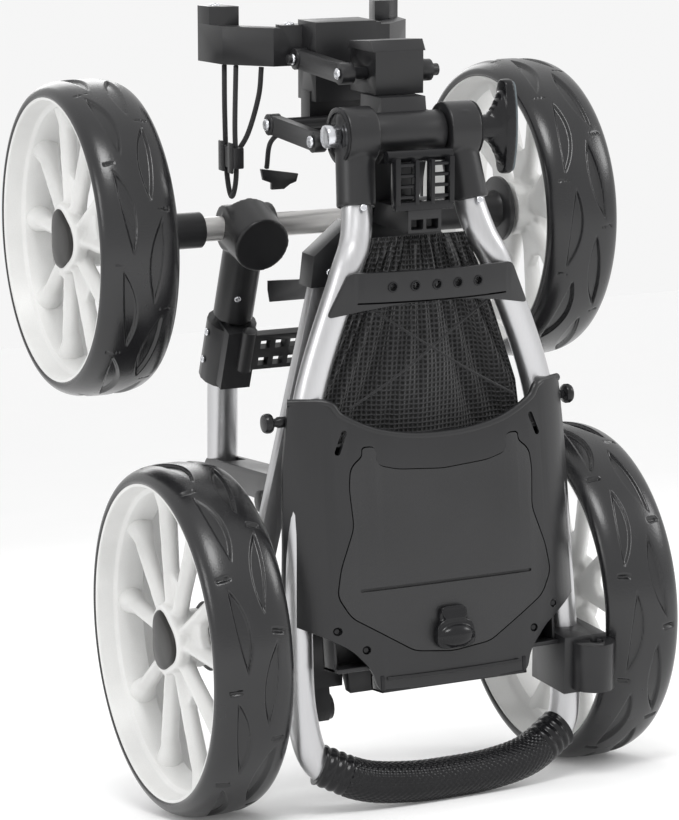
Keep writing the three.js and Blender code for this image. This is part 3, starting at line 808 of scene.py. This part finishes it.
def add_stack(mesh, radius_at, levels, points=72):
    """Rings of one outline at growing distances along X, joined into a closed shape."""
    rings = []
    for scale, along in levels:
        turn = [math.tau * k / points for k in range(points)]
        reach = [radius_at(t) * scale for t in turn]
        rings.append([mesh.verts.new((along, r * math.cos(t), r * math.sin(t))) for r, t in zip(reach, turn)])
    for low, high in zip(rings, rings[1:]):
        for k in range(points):
            n = (k + 1) % points
            mesh.faces.new((low[k], low[n], high[n], high[k]))
    mesh.faces.new(rings[0][::-1])
    mesh.faces.new(rings[-1])
    bmesh.ops.recalc_face_normals(mesh, faces=mesh.faces)


def cap_outline(turn):
    return 24 + 2.6 * math.cos(3 * turn)


def rim(end, name, side):
    rim_radius, half = WHEELS[end][4:]
    barrel = bmesh.new()
    outer, face = rim_radius, half - 3
    profile = [
        (outer, -face), (outer, face), (outer - 0.4, face + 1.6), (outer - 2.0, face + 2.2),
        (outer - 3.8, face + 1.6), (outer - 4.6, face), (outer - 5.2, 19), (outer - 6.2, 17.5),
        (outer - 8.6, 16.6), (outer - 9.6, 15.4), (outer - 10, 6), (outer - 11.5, -2), (outer - 11.5, -6),
        (outer - 7, -9), (outer - 4.6, -12), (outer - 4.2, -face), (outer - 3, -face - 1.6),
        (outer - 1, -face - 1.2),
    ]
    add_turned(barrel, profile, steps=160)
    star = bmesh.new()
    add_rod(star, (-9, 0, 0), (19, 0, 0), 25, 21, 48)
    for i in range(SPOKE_PAIRS):
        for lean in (-1, 1):
            middle = (i + 0.25) / SPOKE_PAIRS * math.tau
            root = middle + lean * math.radians(12)
            tip = middle + lean * math.radians(17.5)

            def at(turn, radius, along):
                return (along, radius * math.cos(turn), radius * math.sin(turn))

            end_radius = outer - 7
            add_rod(star, at(root, 14, 11), at(tip, end_radius, 3), 5.6, 7.6, 20)
            add_rod(star, at(root, 16, 16.5), at(tip, end_radius - 6, 9.5), 2.4, 3.0, 12)
            add_rod(star, at(tip, end_radius - 26, 4), at(tip, end_radius + 3, 3), 6.6, 13, 20)
        web = [(r * math.cos(middle + a), r * math.sin(middle + a)) for r, a in
               ((18, -0.3), (58, -0.26), (50, 0), (58, 0.26), (18, 0.3))]
        add_slab(star, web, 2, 11, "X")
    add_stack(star, cap_outline, [(1.12, 10), (1.2, 18), (1.18, 21.4), (1.12, 22.4)])
    skin = melted(star, RIM_VOXEL)
    barrel.from_mesh(skin)
    finish_piece(f"{end}_rim_{name}_dish", barrel, wheel_frame(end, side), f"{end}_wheel_{name}",
                 white_plastic, "wheel_white", (f"{end}_rim_{name}",), 40)
    cap = bmesh.new()
    add_stack(cap, cap_outline, [(1.0, 21), (1.0, 23.2), (0.95, 24.6), (0.84, 25.4), (0.5, 26.2),
                                 (0.12, 26.4)])
    finish_piece(f"{end}_hub_cap_{name}_dome", cap, wheel_frame(end, side), f"{end}_wheel_{name}",
                 cap_plastic, "black_plastic", (f"{end}_hub_cap_{name}",), 45)


for end in WHEELS:
    for name, side in SIDES:
        rim(end, name, side)
print("rims melted at", RIM_VOXEL, "mm")

# %% [markdown]
# The two axles run between the wheels, and flanged collars keep the wheels apart from the frame.
# The struts are plain tubes in a stiff sleeve, with a thinner tube that slides in each.

# %% Axles, collars and struts


def axle(name, end, body):
    x, y, z = WHEELS[end][:3]
    mesh = bmesh.new()
    add_rod(mesh, (-x - 15, y, z), (x + 15, y, z), 10.5, sides=48)
    soften(mesh, 1.2)
    finish_piece(name + "_bar", mesh, CART, body, axle_metal, "silver_tube", (name,), 40)


def collar(end, name, side, inner, body):
    x = WHEELS[end][0]
    flange = x - 19 - x
    start = inner - x
    profile = [(10.8, start), (14.4, start), (15.5, start + 1.2), (15.5, flange - 6), (17, flange - 2),
               (28, flange - 1), (29, flange), (29, flange + 3.5), (27.6, flange + 5), (24, flange + 5.4),
               (23.4, flange + 3.6), (17, flange + 3.6), (16.4, flange + 6), (10.8, flange + 6)]
    mesh = bmesh.new()
    add_turned(mesh, profile, steps=64)
    finish_piece(f"{end}_collar_{name}_flange", mesh, wheel_frame(end, side), body, plastic,
                 "black_plastic", (f"{end}_collar_{name}",), 40)


axle("rear_axle", "rear", "main_frame")
axle("front_axle", "front", "front_axle_set")
for name, side in SIDES:
    collar("rear", name, side, 134, "main_frame")
    collar("front", name, side, 101, "front_axle_set")

for name, side in SIDES:
    mesh = bmesh.new()
    add_rod(mesh, (0, 0, 36), (0, 0, 68), 11, sides=48)
    soften(mesh, 0.8)
    finish_piece(f"inner_tube_{name}_bar", mesh, strut_frame(side), "front_axle_set", tube_metal,
                 "silver_tube", (f"inner_tube_{name}",), 40)
    foot = [(side * STRUT_X, 208, 86), (side * STRUT_X, 207, 120), (side * STRUT_X, KNEE_Y, KNEE_Z)]
    foot.append(tuple(CART.inverted() @ (strut_frame(side) @ Vector((0, 0, 30)))))
    finish_piece(f"strut_tube_{name}_bar", swept(foot, 13.5, 48, 2.5), CART, "front_fork", tube_metal,
                 "silver_tube", (f"strut_tube_{name}",), 40)
print("axles, collars and struts made")

# %% [markdown]
# The handle is one bent tube. Its grip is a sleeve of glossy rubber with a fine diamond pattern
# that stops at three ring collars near each end.

# %% Handle and grip
HANDLE_HALF = [(46, -57, 405), (50, -70, 365), (57, -81, 335), (70, -87, 306), (103, -92, 212),
               (116, -100, 110),
               (121, -110, 10), (121, -119, -43), (110, -127, -80), (76, -137, -95), (38, -143, -100),
               (0, -144, -101)]
GRIP_HALF = HANDLE_HALF[8:]
finish_piece("handle_tube_bar", swept(mirrored(HANDLE_HALF), 12.5, 48, 4), HINGE_SIDE, "handle", tube_metal,
             "silver_tube", ("handle_tube",), 40)

grip_length = length_of(mirrored(GRIP_HALF)) * 1000


def grip_radius(run, turn):
    from_end = min(run, grip_length - run)
    if from_end < 26:
        ring = 0.5 + 0.5 * math.cos(from_end / 7.5 * math.tau)
        size = 15.6 + 1.4 * ring ** 0.5
        return np.full(len(turn), size)
    pitch = 5.2
    around = turn * 16.6
    rows = math.tau * 16.6 / round(math.tau * 16.6 / pitch)
    first = np.abs(((run + around * pitch / rows) / pitch) % 1 - 0.5)
    second = np.abs(((run - around * pitch / rows) / pitch) % 1 - 0.5)
    return 16.2 + 0.8 * np.clip(np.minimum(first, second) * 5, 0, 1)


grip_sides, grip_step = (48, 4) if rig.quick() else (144, 0.8)
finish_piece("handle_grip_sleeve", swept(mirrored(GRIP_HALF), grip_radius, grip_sides, grip_step), HINGE_SIDE,
             "handle", grip_rubber, "grip_rubber", ("handle_grip",), 60)
print(f"grip sleeve {grip_length:.0f} mm long")

# %% [markdown]
# The console lid is a crowned panel with a fine stipple. It is cut from a flat outline, sliced
# into narrow strips, and each strip is pushed back along the crown's curve, so that the panel
# bends smoothly towards its sides.

# %% Console lid
LID_HALF = [(0, 160), (40, 163), (58, 168), (58, 183), (70, 183), (70, 176), (80, 168), (82, 152), (80, 120),
            (92, 88), (96, 66), (86, 48), (60, 32), (34, 16), (0, 12)]


def both_halves(half):
    return half + [(-x, w) for x, w in half[-2:0:-1]]


def crown(x):
    return 34 * abs(x / 133) ** 5


def add_panel(mesh, outline, front, back, strip=4):
    add_slab(mesh, outline, front, back)
    reach = max(abs(x) for x, _ in outline)
    for i in range(int(-reach / strip), int(reach / strip) + 1):
        geometry = mesh.verts[:] + mesh.edges[:] + mesh.faces[:]
        bmesh.ops.bisect_plane(mesh, geom=geometry, plane_co=(i * strip, 0, 0), plane_no=(1, 0, 0))


def carved(mesh, cutter):
    """The mesh with the cutter's shape taken out of it."""
    pair = []
    for name, source in (("whole", mesh), ("cutter", cutter)):
        data = bpy.data.meshes.new(name)
        source.to_mesh(data)
        source.free()
        pair.append(bpy.data.objects.new(name, data))
        bpy.context.scene.collection.objects.link(pair[-1])
    cut = pair[0].modifiers.new("cut", "BOOLEAN")
    cut.solver = "EXACT"
    cut.object = pair[1]
    data = baked(pair[0])
    bpy.data.objects.remove(pair[1])
    made = bmesh.new()
    made.from_mesh(data)
    bpy.data.meshes.remove(data)
    return made


def crowned(mesh):
    for vert in mesh.verts:
        vert.co.y += crown(vert.co.x)
    return mesh


def add_capsule(mesh, start, end, radius, front=-12, back=4):
    """A round-ended slot shape through the panel, between two (x, w) points."""
    start, end = Vector(start), Vector(end)
    along = (end - start).normalized() * radius
    turn = Vector((-along.y, along.x))
    outline = []
    for centre, sign in ((start, -1), (end, 1)):
        for k in range(9):
            angle = math.pi * (k / 8 - 0.5)
            outline.append(tuple(centre + sign * (along * math.cos(angle) + turn * math.sin(angle))))
    add_slab(mesh, outline, front, back)


LID_OUTLINE = rounded(both_halves(LID_HALF), 6)
lid = bmesh.new()
add_panel(lid, LID_OUTLINE, -8.0, -4.9)
soften(lid, 0.6, 60)
groove = bmesh.new()
add_capsule(groove, (-77, 69), (75, 69), 1.3, -9, -6.4)
finish_piece("console_lid_panel", crowned(carved(lid, groove)), CONSOLE, "lid", lid_plastic, "black_plastic",
             ("console_lid",), 30)

SHELL_HALF = [(0, 188), (30, 190), (60, 197), (84, 210), (94, 222), (122, 224), (128, 170), (133, 46),
              (112, 36), (88, 22), (72, 4), (67, -14), (0, -14)]
face = bmesh.new()
add_panel(face, rounded(both_halves(SHELL_HALF), 7), -8.0, -4.6)
soften(face, 1.2, 60, 3)
holes = bmesh.new()
add_slab(holes, [(x * 1.011, 92 + (w - 92) * 1.011) for x, w in LID_OUTLINE], -20, 10)
for side in (-1, 1):
    add_capsule(holes, (side * 84, 196), (side * 90, 181), 2.3)
    for x, w in ((98, 38), (76, 21)):
        add_capsule(holes, (side * x - 0.2, w), (side * x + 0.2, w), 3.4)
finish_piece("console_face", crowned(carved(face, holes)), CONSOLE, "handle", plastic, "black_plastic",
             ("console_shell",), 30)

tray = bmesh.new()
for low, high in (((-100.5, 23, 4), (100.5, 26, 188)), ((-100.5, -2, 4), (100.5, 26, 7.5)),
                  ((-100.5, 0, 185), (100.5, 26, 188)), ((-100.5, 4, 4), (-98, 26, 188)),
                  ((98, 4, 4), (100.5, 26, 188))):
    add_box(tray, low, high)
soften(tray, 0.8)
finish_piece("console_tray", tray, CONSOLE, "handle", plastic, "black_plastic")

mouth = [(x, -5.4 + crown(x), w - 1.2) for x, w in
         ((-122, 223.5), (-95, 221.5), (-85, 210.5), (-60, 197.4), (-30, 190.3), (0, 188.4))]
finish_piece("console_mouth_roll", swept(mirrored(mouth), 3.2, 20, 3), CONSOLE, "handle", plastic,
             "black_plastic", (), 60)

lip = bmesh.new()
for low, high in (((-66, 8, -15), (66, 12, -1)), ((-66, -7.9, -15), (66, 12, -12.4)),
                  ((-66, -4.5, -3.4), (66, 12, -1)), ((-66, -7.9, -15), (-62.5, 12, -1)),
                  ((62.5, -7.9, -15), (66, 12, -1))):
    add_box(lip, low, high)
soften(lip, 0.7)
finish_piece("console_lip_channel", lip, CONSOLE, "handle", smooth_plastic, "black_plastic")
finish_piece("console_lip_cord", swept([(-60, -8.6, -4), (-20, -9.4, -4.6), (20, -9.4, -4.6), (60, -8.6, -4)],
                                       1.4, 14, 1.5), CONSOLE, "handle", cord_cloth, "cord", (), 60)

print("console made")

# %% [markdown]
# The latch is a glossy rubber tongue: a stepped plate at the top and a round bulb below, melted
# into one shape. The two side knobs are turned.

# %% Latch and side knobs
latch = bmesh.new()
add_slab(latch, rounded([(-13, 24), (13, 24), (12, 49), (-12, 49)], 6), -12.5, -9)
add_slab(latch, rounded([(-18, 15), (18, 15), (16, 38), (-16, 38)], 9), -15.5, -8.8)
bulb = bmesh.ops.create_uvsphere(latch, u_segments=32, v_segments=20, radius=1)["verts"]
moved(latch, bulb, Matrix.Translation((0, -14.5, 25)) @ Matrix.Diagonal((16, 7.5, 9.5, 1)))
for step in range(3):
    add_box(latch, (-11 + step, -14.2 - step, 44 - 3 * step), (11 - step, -9, 46 - 3 * step))
finish_piece("lid_latch_tongue", melted(latch, 1.0, 4), CONSOLE, "latch", grip_rubber, "grip_rubber",
             ("lid_latch",), 60)
for name, side in SIDES:
    knob = bmesh.new()
    add_turned(knob, [(0.2, 119.6), (4.5, 119.6), (4.5, 127), (3.4, 129), (3.6, 132), (7.2, 133), (8, 134.4),
                      (8, 137.6), (7, 139.4), (4, 140), (0.2, 140)], 32)
    knob_place = Matrix.Translation((0, -86, 196)) @ turned_out(side)
    finish_piece(f"side_knob_{name}_turned", knob, HINGE_SIDE @ knob_place, "handle", smooth_plastic,
                 "black_plastic", (f"side_knob_{name}",), 45)

print("latch and side knobs made")

# %% [markdown]
# The hinge stands above the console: a round-topped socket over each handle tube with a stack of
# discs on it, the ribbed locking lever between them, the winged angle knob on the right, and the
# curved plate with five ringed holes below.

# %% Hinge, lever, knob and plate
HINGE_Y, HINGE_Z = -56, 418
FINE = 3.0 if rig.quick() else 1.3
for name, side in SIDES:
    socket = bmesh.new()
    add_rod(socket, (side * 32, HINGE_Y, HINGE_Z), (side * 59, HINGE_Y, HINGE_Z), 23, sides=64)
    add_rod(socket, (side * 46, -58, 435), (side * 46, -58, 404), 15.2, 15.6, sides=48)
    add_rod(socket, (side * 46, -58, 408), (side * 51, -71, 362), 16, 15.8, sides=48)
    finish_piece(f"handle_socket_{name}_body", melted(socket, FINE, 4), HINGE_SIDE, "handle", plastic,
                 "black_plastic", (f"handle_socket_{name}",), 60)
    discs = bmesh.new()
    add_turned(discs, [(6, 58.6), (22, 58.6), (22.8, 59.4), (22.8, 60.2), (21.8, 60.8), (18.6, 60.8),
                       (18, 60), (18, 59.6), (13, 59.6), (12.4, 60.4), (6, 60.4)], 64)
    disc_place = HINGE_SIDE @ Matrix.Translation((0, HINGE_Y, HINGE_Z)) @ turned_out(side)
    finish_piece(f"hinge_discs_{name}", discs, disc_place, "handle", smooth_plastic, "black_plastic", (), 40)

lever = bmesh.new()
for side in (-1, 1):
    add_box(lever, (side * 24 - 2.2, -93, 364), (side * 24 + 2.2, -83, 402))
    add_box(lever, (side * 7 - 1.8, -93, 364), (side * 7 + 1.8, -84, 400))
    for rib in range(4):
        add_box(lever, (side * 16 - 8, -91.5, 369 + rib * 8.6), (side * 16 + 8, -86, 371.6 + rib * 8.6))
add_box(lever, (-26, -92.5, 359.5), (26, -84, 366.5))
soften(lever, 0.7)
add_rod(lever, (-29, -80, 402), (29, -80, 402), 5, sides=32)
finish_piece("hinge_lever_ladder", lever, HINGE_SIDE, "hinge_lever", smooth_plastic, "black_plastic",
             ("hinge_lock_lever",), 40)

knob = bmesh.new()
WING = rounded([(HINGE_Y - 7, HINGE_Z + 39), (HINGE_Y + 7, HINGE_Z + 39), (HINGE_Y + 13, HINGE_Z + 16),
                (HINGE_Y + 13, HINGE_Z - 16), (HINGE_Y + 7, HINGE_Z - 39), (HINGE_Y - 7, HINGE_Z - 39),
                (HINGE_Y - 13, HINGE_Z - 16), (HINGE_Y - 13, HINGE_Z + 16)], 12)


def wing(wide, tall):
    """The wing's outline, made narrower and shorter about the knob's axis."""
    return [(HINGE_Y + (y - HINGE_Y) * wide, HINGE_Z + (z - HINGE_Z) * tall) for y, z in WING]


add_slab(knob, WING, 87, 95.5, "X")
for step in range(5):
    share = 1 - step / 5
    wide, tall = 0.5 + 0.4 * share, 0.3 + 0.62 * share ** 1.6
    add_slab(knob, wing(wide, tall), 87 - step * 3, 90 - step * 3, "X")
add_rod(knob, (59.4, HINGE_Y, HINGE_Z), (86, HINGE_Y, HINGE_Z), 10.6, sides=48)
finish_piece("angle_knob_wing", melted(knob, FINE, 10), HINGE_SIDE, "knob", smooth_plastic, "black_plastic",
             ("angle_knob",), 60)
plate = bmesh.new()
add_slab(plate, wing(0.93, 0.96), 94.5, 97, "X")
soften(plate, 0.8)
finish_piece("angle_knob_face", plate, HINGE_SIDE, "knob", grey_plastic, "black_plastic")

TEE_HOLES = (-38, -19, 0, 19, 38)


def tee_bow(x):
    return 15 * (x / 90) ** 2


tee = bmesh.new()
TEE_OUTLINE = [(-73, 315), (73, 315), (90, 279), (60, 285), (30, 289), (0, 290), (-30, 289), (-60, 285),
               (-90, 279)]
add_panel(tee, rounded(TEE_OUTLINE, 5), -115, -111)
soften(tee, 0.9, 60)
tee_holes = bmesh.new()
for x in TEE_HOLES:
    add_capsule(tee_holes, (x - 0.1, 303), (x + 0.1, 303), 2.6, -120, -105)
add_capsule(tee_holes, (-66, 290.5), (66, 290.5), 0.7, -116, -114.2)
tee = carved(tee, tee_holes)
for vert in tee.verts:
    vert.co.y += tee_bow(vert.co.x)
rings = bmesh.new()
for x in TEE_HOLES:
    before = len(rings.verts)
    add_turned(rings, [(2.6, 0.8), (4.2, 0.8), (4.4, 0), (4.2, -0.7), (3.2, -0.9), (2.6, 0)], 28)
    rings.verts.ensure_lookup_table()
    ring_place = Matrix.Translation((x, -115.2 + tee_bow(x), 303))
    moved(rings, rings.verts[before:], ring_place @ Matrix.Rotation(math.pi / 2, 4, "Z"))
finish_piece("tee_plate_bow", tee, HINGE_SIDE, "handle", plastic, "black_plastic", ("tee_plate",), 30)
finish_piece("tee_plate_rings", rings, HINGE_SIDE, "handle", smooth_plastic, "black_plastic", (), 40)

print("hinge side made")

# %% [markdown]
# A big round boss joins each strut to the front axle. The boss, the cross piece on the axle and
# the sleeve down the strut are melted together.

# %% Strut heads
for name, side in SIDES:
    x = side * STRUT_X
    head = bmesh.new()
    add_rod(head, (x - 22, FRONT_Y, FRONT_Z), (x + 22, FRONT_Y, FRONT_Z), 20, sides=64)
    add_rod(head, (x, 153, 315), (x, 115, 302), 26, 24.5, sides=64)
    start = tuple(CART.inverted() @ (strut_frame(side) @ Vector((0, 0, 65))))
    add_rod(head, start, (x, FRONT_Y, FRONT_Z), 17.5, sides=64)
    finish_piece(f"tee_joint_{name}_boss", melted(head, FINE, 5), CART, "front_axle_set", plastic,
                 "black_plastic", (f"tee_joint_{name}",), 60)
print("strut heads made")

# %% [markdown]
# Elastic cords hold the top of a bag. They hang from the cradle's tips, so they follow short
# fixed routes. Their woven cover is a pattern of crossing threads on the sweep's own UV map.

# %% Strap cords
CORD_RADIUS = 2.2
LEFT_CORD = [(-82, 124, 458.9), (-87, 112, 420), (-88, 106, 370), (-88, 96, 351), (-88, 86, 370),
             (-88, 88, 410), (-76, 113, 458.9)]
LEFT_BRANCH = [(-60, 96, 458.9), (-64, 93, 435), (-76, 88, 405), (-88, 86.5, 388)]
RIGHT_CORD = [(-2, 84.4, 412), (-4, 110, 408), (-12, 148, 398), (-19, 170, 385), (-18, 182, 360.6)]
for name, route, nodes in (("strap_loop", LEFT_CORD, ("strap_cord_left",)), ("strap_branch", LEFT_BRANCH, ()),
                           ("strap_pull", RIGHT_CORD, ("strap_cord_right",))):
    cord = finish_piece(name, swept(route, CORD_RADIUS, 16, 1.2), HINGE_SIDE, "cradle", cord_cloth,
                        "cord", nodes, 60)
    path = [tuple(HINGE_SIDE @ Vector(p)) for p in smooth_line(route, 4)[0]]
    far_end, on_it = ("fitting", "strap_handle_body") if name == "strap_pull" else ("object", ())
    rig.cord(cord, path[0], length_of(route), 2 * CORD_RADIUS / 1000, far_end, stiffness="limp",
            lay="hanging", path=path, with_pieces=on_it)
    print(name, f"{length_of(route) * 1000:.0f} mm long")

clip = bmesh.new()
add_box(clip, (-93, 80, 376), (-83, 112, 394))
add_box(clip, (-94.5, 81, 372), (-92, 90, 398))
add_box(clip, (-94.5, 100, 372), (-92, 110, 398))
soften(clip, 1.2)
finish_piece("strap_clip", clip, HINGE_SIDE, "cradle", plastic, "black_plastic")

# %% [markdown]
# Screws and bolts finish the frame and the console.

# %% Fasteners
screws("console_screws", "handle", CONSOLE, [((x, -5.6 + crown(x), w), (0, -1, 0)) for x, w in
                                            ((-98, 38), (98, 38), (-76, 21), (76, 21))],
       smooth_plastic, 2.6)
LEFT, RIGHT, UP, FRONT = (-1, 0, 0), (1, 0, 0), (0, 0, 1), (0, -1, 0)
screws("cradle_bolts", "cradle", HINGE_SIDE, [
    ((-36, 92, 494), UP), ((36, 92, 494), UP), ((-80, 148, 507), UP), ((80, 148, 507), UP)], radius=4.2)
screws("link_bolts", "upper_link", HINGE_SIDE, [
    ((-42, -17, 463), LEFT), ((42, -17, 463), RIGHT), ((-42, 71, 467), LEFT),
    ((42, 71, 467), RIGHT)], radius=4.6)
screws("lower_link_bolts", "lower_link", HINGE_SIDE, [
    ((-72, -30, 411), LEFT), ((-72, 58, 415), LEFT), ((72, 58, 415), RIGHT)], radius=5)
strap = bmesh.new()
add_slab(strap, rounded([(-78, 96), (-60, 92), (-56, 150), (-74, 154)], 4), -1, 2.6)
soften(strap, 0.5)
uv = strap.loops.layers.uv.new("UVMap")
for woven_face in strap.faces:
    for loop in woven_face.loops:
        loop[uv].uv = (loop.vert.co.x, loop.vert.co.z)
STRAP_PLACE = CART @ Matrix.Translation((-8, 12, 0))
finish_piece("leg_strap", strap, STRAP_PLACE, "main_frame", webbing_cloth, "black_plastic")
screws("leg_strap_screw", "main_frame", STRAP_PLACE, [((-66, -1.2, 124), FRONT)], smooth_plastic, 4)
screws("hinge_screws", "handle", HINGE_SIDE, [
    ((-52, -87, 364), (0, -1, 0.3)), ((52, -87, 364), (0, -1, 0.3))], steel, 3)
for name, side in SIDES:
    screws(f"strut_screws_{name}", "front_fork", strut_frame(side), [
        ((-22.3, 0, 22), LEFT), ((-22.3, 0, 50), LEFT)], steel, 3.2)
    screws(f"sleeve_screw_{name}", "front_axle_set", strut_frame(side), [
        ((-6, -16.8, 92), (-0.3, -1, 0))], steel, 3)
screws("bracket_screws", "main_frame", CART, [
    ((-52, -8.2, 298), FRONT), ((52, -8.2, 298), FRONT), ((-52, 8, -4), FRONT)])
print("fasteners made")

# %% [markdown]
# The pocket between the tubes is a thick black air mesh with a grid of dimples, and its holes are
# painted near-black as painted shade for the dark layers behind them. It starts as a flat sheet that is
# larger than the space, and its edges are drawn in to the tubes while the cloth solver lets the rest of it
# crumple.

# %% Net pocket
SHEET_WIDTH, SHEET_HEIGHT = 0.196, 0.18
GRID_X, GRID_Z = (36, 24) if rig.quick() else (92, 84)
DRAW_IN, SETTLE = 30, 48


def pocket_edge(u, v):
    """The place, on the hinge side, of a point of the gathered sheet's edge."""
    z = 158 + 180 * v
    reach = float(np.interp(z, (158, 212, 306, 338), (96, 89, 57, 42)))
    y = -86 + 6 * v + 20 * math.sin(math.pi * v) * (1 - (2 * u - 1) ** 2) + 4 * math.sin(9 * u) * (1 - v)
    return ((2 * u - 1) * reach, y, z)


def net_pocket():
    grid = bmesh.new()
    uv = grid.loops.layers.uv.new("UVMap")
    rows = []
    for j in range(GRID_Z + 1):
        row = []
        for i in range(GRID_X + 1):
            u, v = i / GRID_X, j / GRID_Z
            ripple = 0.006 * math.sin(11 * u + 5 * v) * math.sin(math.pi * u) * math.sin(math.pi * v)
            place = Vector(((u - 0.5) * SHEET_WIDTH, -0.07 + ripple, 0.25 + (v - 0.5) * SHEET_HEIGHT))
            row.append(grid.verts.new(place))
        rows.append(row)
    for j in range(GRID_Z):
        for i in range(GRID_X):
            face = grid.faces.new((rows[j][i], rows[j][i + 1], rows[j + 1][i + 1], rows[j + 1][i]))
            for loop, (a, b) in zip(face.loops, ((i, j), (i + 1, j), (i + 1, j + 1), (i, j + 1))):
                loop[uv].uv = (a / GRID_X * SHEET_WIDTH * 1000, b / GRID_Z * SHEET_HEIGHT * 1000)
    data = bpy.data.meshes.new("net_pocket")
    grid.to_mesh(data)
    grid.free()
    piece = bpy.data.objects.new("net_pocket", data)
    bpy.context.scene.collection.objects.link(piece)
    edge = [k for k in range(len(data.vertices))
            if k % (GRID_X + 1) in (0, GRID_X) or k // (GRID_X + 1) in (0, GRID_Z)]
    group = piece.vertex_groups.new(name="edge")
    group.add(edge, 1.0, "ADD")
    piece.shape_key_add(name="flat")
    drawn = piece.shape_key_add(name="drawn")
    for k in range(len(data.vertices)):
        u, v = (k % (GRID_X + 1)) / GRID_X, (k // (GRID_X + 1)) / GRID_Z
        drawn.data[k].co = Vector(pocket_edge(u, v)) / 1000
    drawn.value = 0
    drawn.keyframe_insert("value", frame=1)
    drawn.value = 1
    drawn.keyframe_insert("value", frame=DRAW_IN)
    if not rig.quick():
        cloth = piece.modifiers.new("cloth", "CLOTH")
        cloth.settings.vertex_group_mass = "edge"
        cloth.settings.quality = 6
        cloth.settings.mass = 0.2
        cloth.settings.tension_stiffness = 20
        cloth.settings.compression_stiffness = 20
        cloth.settings.shear_stiffness = 8
        cloth.settings.bending_stiffness = 0.15
        cloth.collision_settings.use_self_collision = True
        cloth.collision_settings.self_distance_min = 0.0008
        cloth.point_cache.frame_end = SETTLE
    for step in range(1, SETTLE + 1):
        bpy.context.scene.frame_set(step)
    return baked(piece)


net = Finish("air_mesh", Sheen_Weight=0.15, Specular_IOR_Level=0.4)
HOLE_PITCH = 4.0
along, across = net.threads()
hole = (along * (math.pi / HOLE_PITCH)).sine() * (across * (math.pi / HOLE_PITCH)).sine()
# The holes of the mesh are painted near-black: painted shade for the dark layers seen through them, because the sheet
# is not see-through. The holes are also made rougher.
hole_painted_shade = (hole.size() - 0.42).most(0).least(0.1) * 10
fuzz = net.noise(1400, 3.0)
net.shine(
    Base_Color=net.blend((0.030, 0.030, 0.032), (0.001, 0.001, 0.001), hole_painted_shade),
    Roughness=0.55 + fuzz * 0.2 + hole_painted_shade * 0.2,
    Normal=net.bump(fuzz * 0.3 - hole.size() * 1.5, 0.0012),
)
sheet = net_pocket()
pocket = finish_piece("net_pocket", sheet, HINGE_SIDE @ Matrix.Scale(1000, 4), "handle", net.material,
                      "mesh_fabric", ("mesh_bag",), 180)
bpy.context.scene.frame_set(1)
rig.sheet(pocket, (SHEET_WIDTH, SHEET_HEIGHT), "gathered", rests_on="handle_tube_bar")
for name, side in SIDES:
    cross = [(side * 60, -101, 290), (side * 18, -104, 262), (side * -30, -108, 231), (side * -74, -107, 206)]
    finish_piece(f"pocket_cord_{name}", swept(cross, 1.0, 12, 1.5), HINGE_SIDE, "handle", cord_cloth,
                 "cord", (), 60)
print("net pocket gathered")

# %% [markdown]
# Last come the floor and the lights: one large soft light from above and in front, a fill from
# the left and a low one behind, over a plain pale floor.

# %% Floor and lights
floor_mesh = bmesh.new()
bmesh.ops.create_grid(floor_mesh, x_segments=1, y_segments=1, size=400)
floor_data = bpy.data.meshes.new("floor")
floor_mesh.to_mesh(floor_data)
floor_mesh.free()
floor = bpy.data.objects.new("floor", floor_data)
bpy.context.scene.collection.objects.link(floor)
floor_finish = Finish("floor", Roughness=0.9, Emission_Color=(1, 1, 1, 1), Emission_Strength=0.08)
floor_shade = floor_finish.blend((0.90, 0.90, 0.90), (0.94, 0.94, 0.94), floor_finish.noise(3))
floor_finish.shine(Base_Color=floor_shade)
floor.data.materials.append(floor_finish.material)
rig.stage(floor)

world = bpy.data.worlds.new("studio")
bpy.context.scene.world = world
world.use_nodes = True
world.node_tree.nodes["Background"].inputs["Color"].default_value = (1, 1, 1, 1)
world.node_tree.nodes["Background"].inputs["Strength"].default_value = 0.92
bpy.context.scene.view_settings.view_transform = "Standard"

for name, place, size, power in (("key", (-0.6, -1.5, 2.4), 0.9, 26), ("fill", (-2.6, -0.6, 1.2), 0.8, 9),
                                 ("right", (2.2, -1.0, 1.5), 0.8, 12), ("back", (0.4, 2.4, 1.8), 1.2, 12)):
    lamp = bpy.data.objects.new(name, bpy.data.lights.new(name, "AREA"))
    bpy.context.scene.collection.objects.link(lamp)
    lamp.data.size = size
    lamp.data.energy = power
    lamp.location = place
    lamp.rotation_euler = (Vector((0, 0, 0.33)) - Vector(place)).to_track_quat("-Z", "Y").to_euler()
    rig.stage(lamp)

print("floor and lights placed")

# %% [markdown]
# The last cell writes the size of the imported model and of the finished one beside each other.

# %% Sizes
with open("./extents.json", "w") as sizes:
    boxes = {"cad": cad_box, "visual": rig.bounds()}
    json.dump({name: [list(corner) for corner in box] for name, box in boxes.items()}, sizes, indent=1)
print("sizes written")
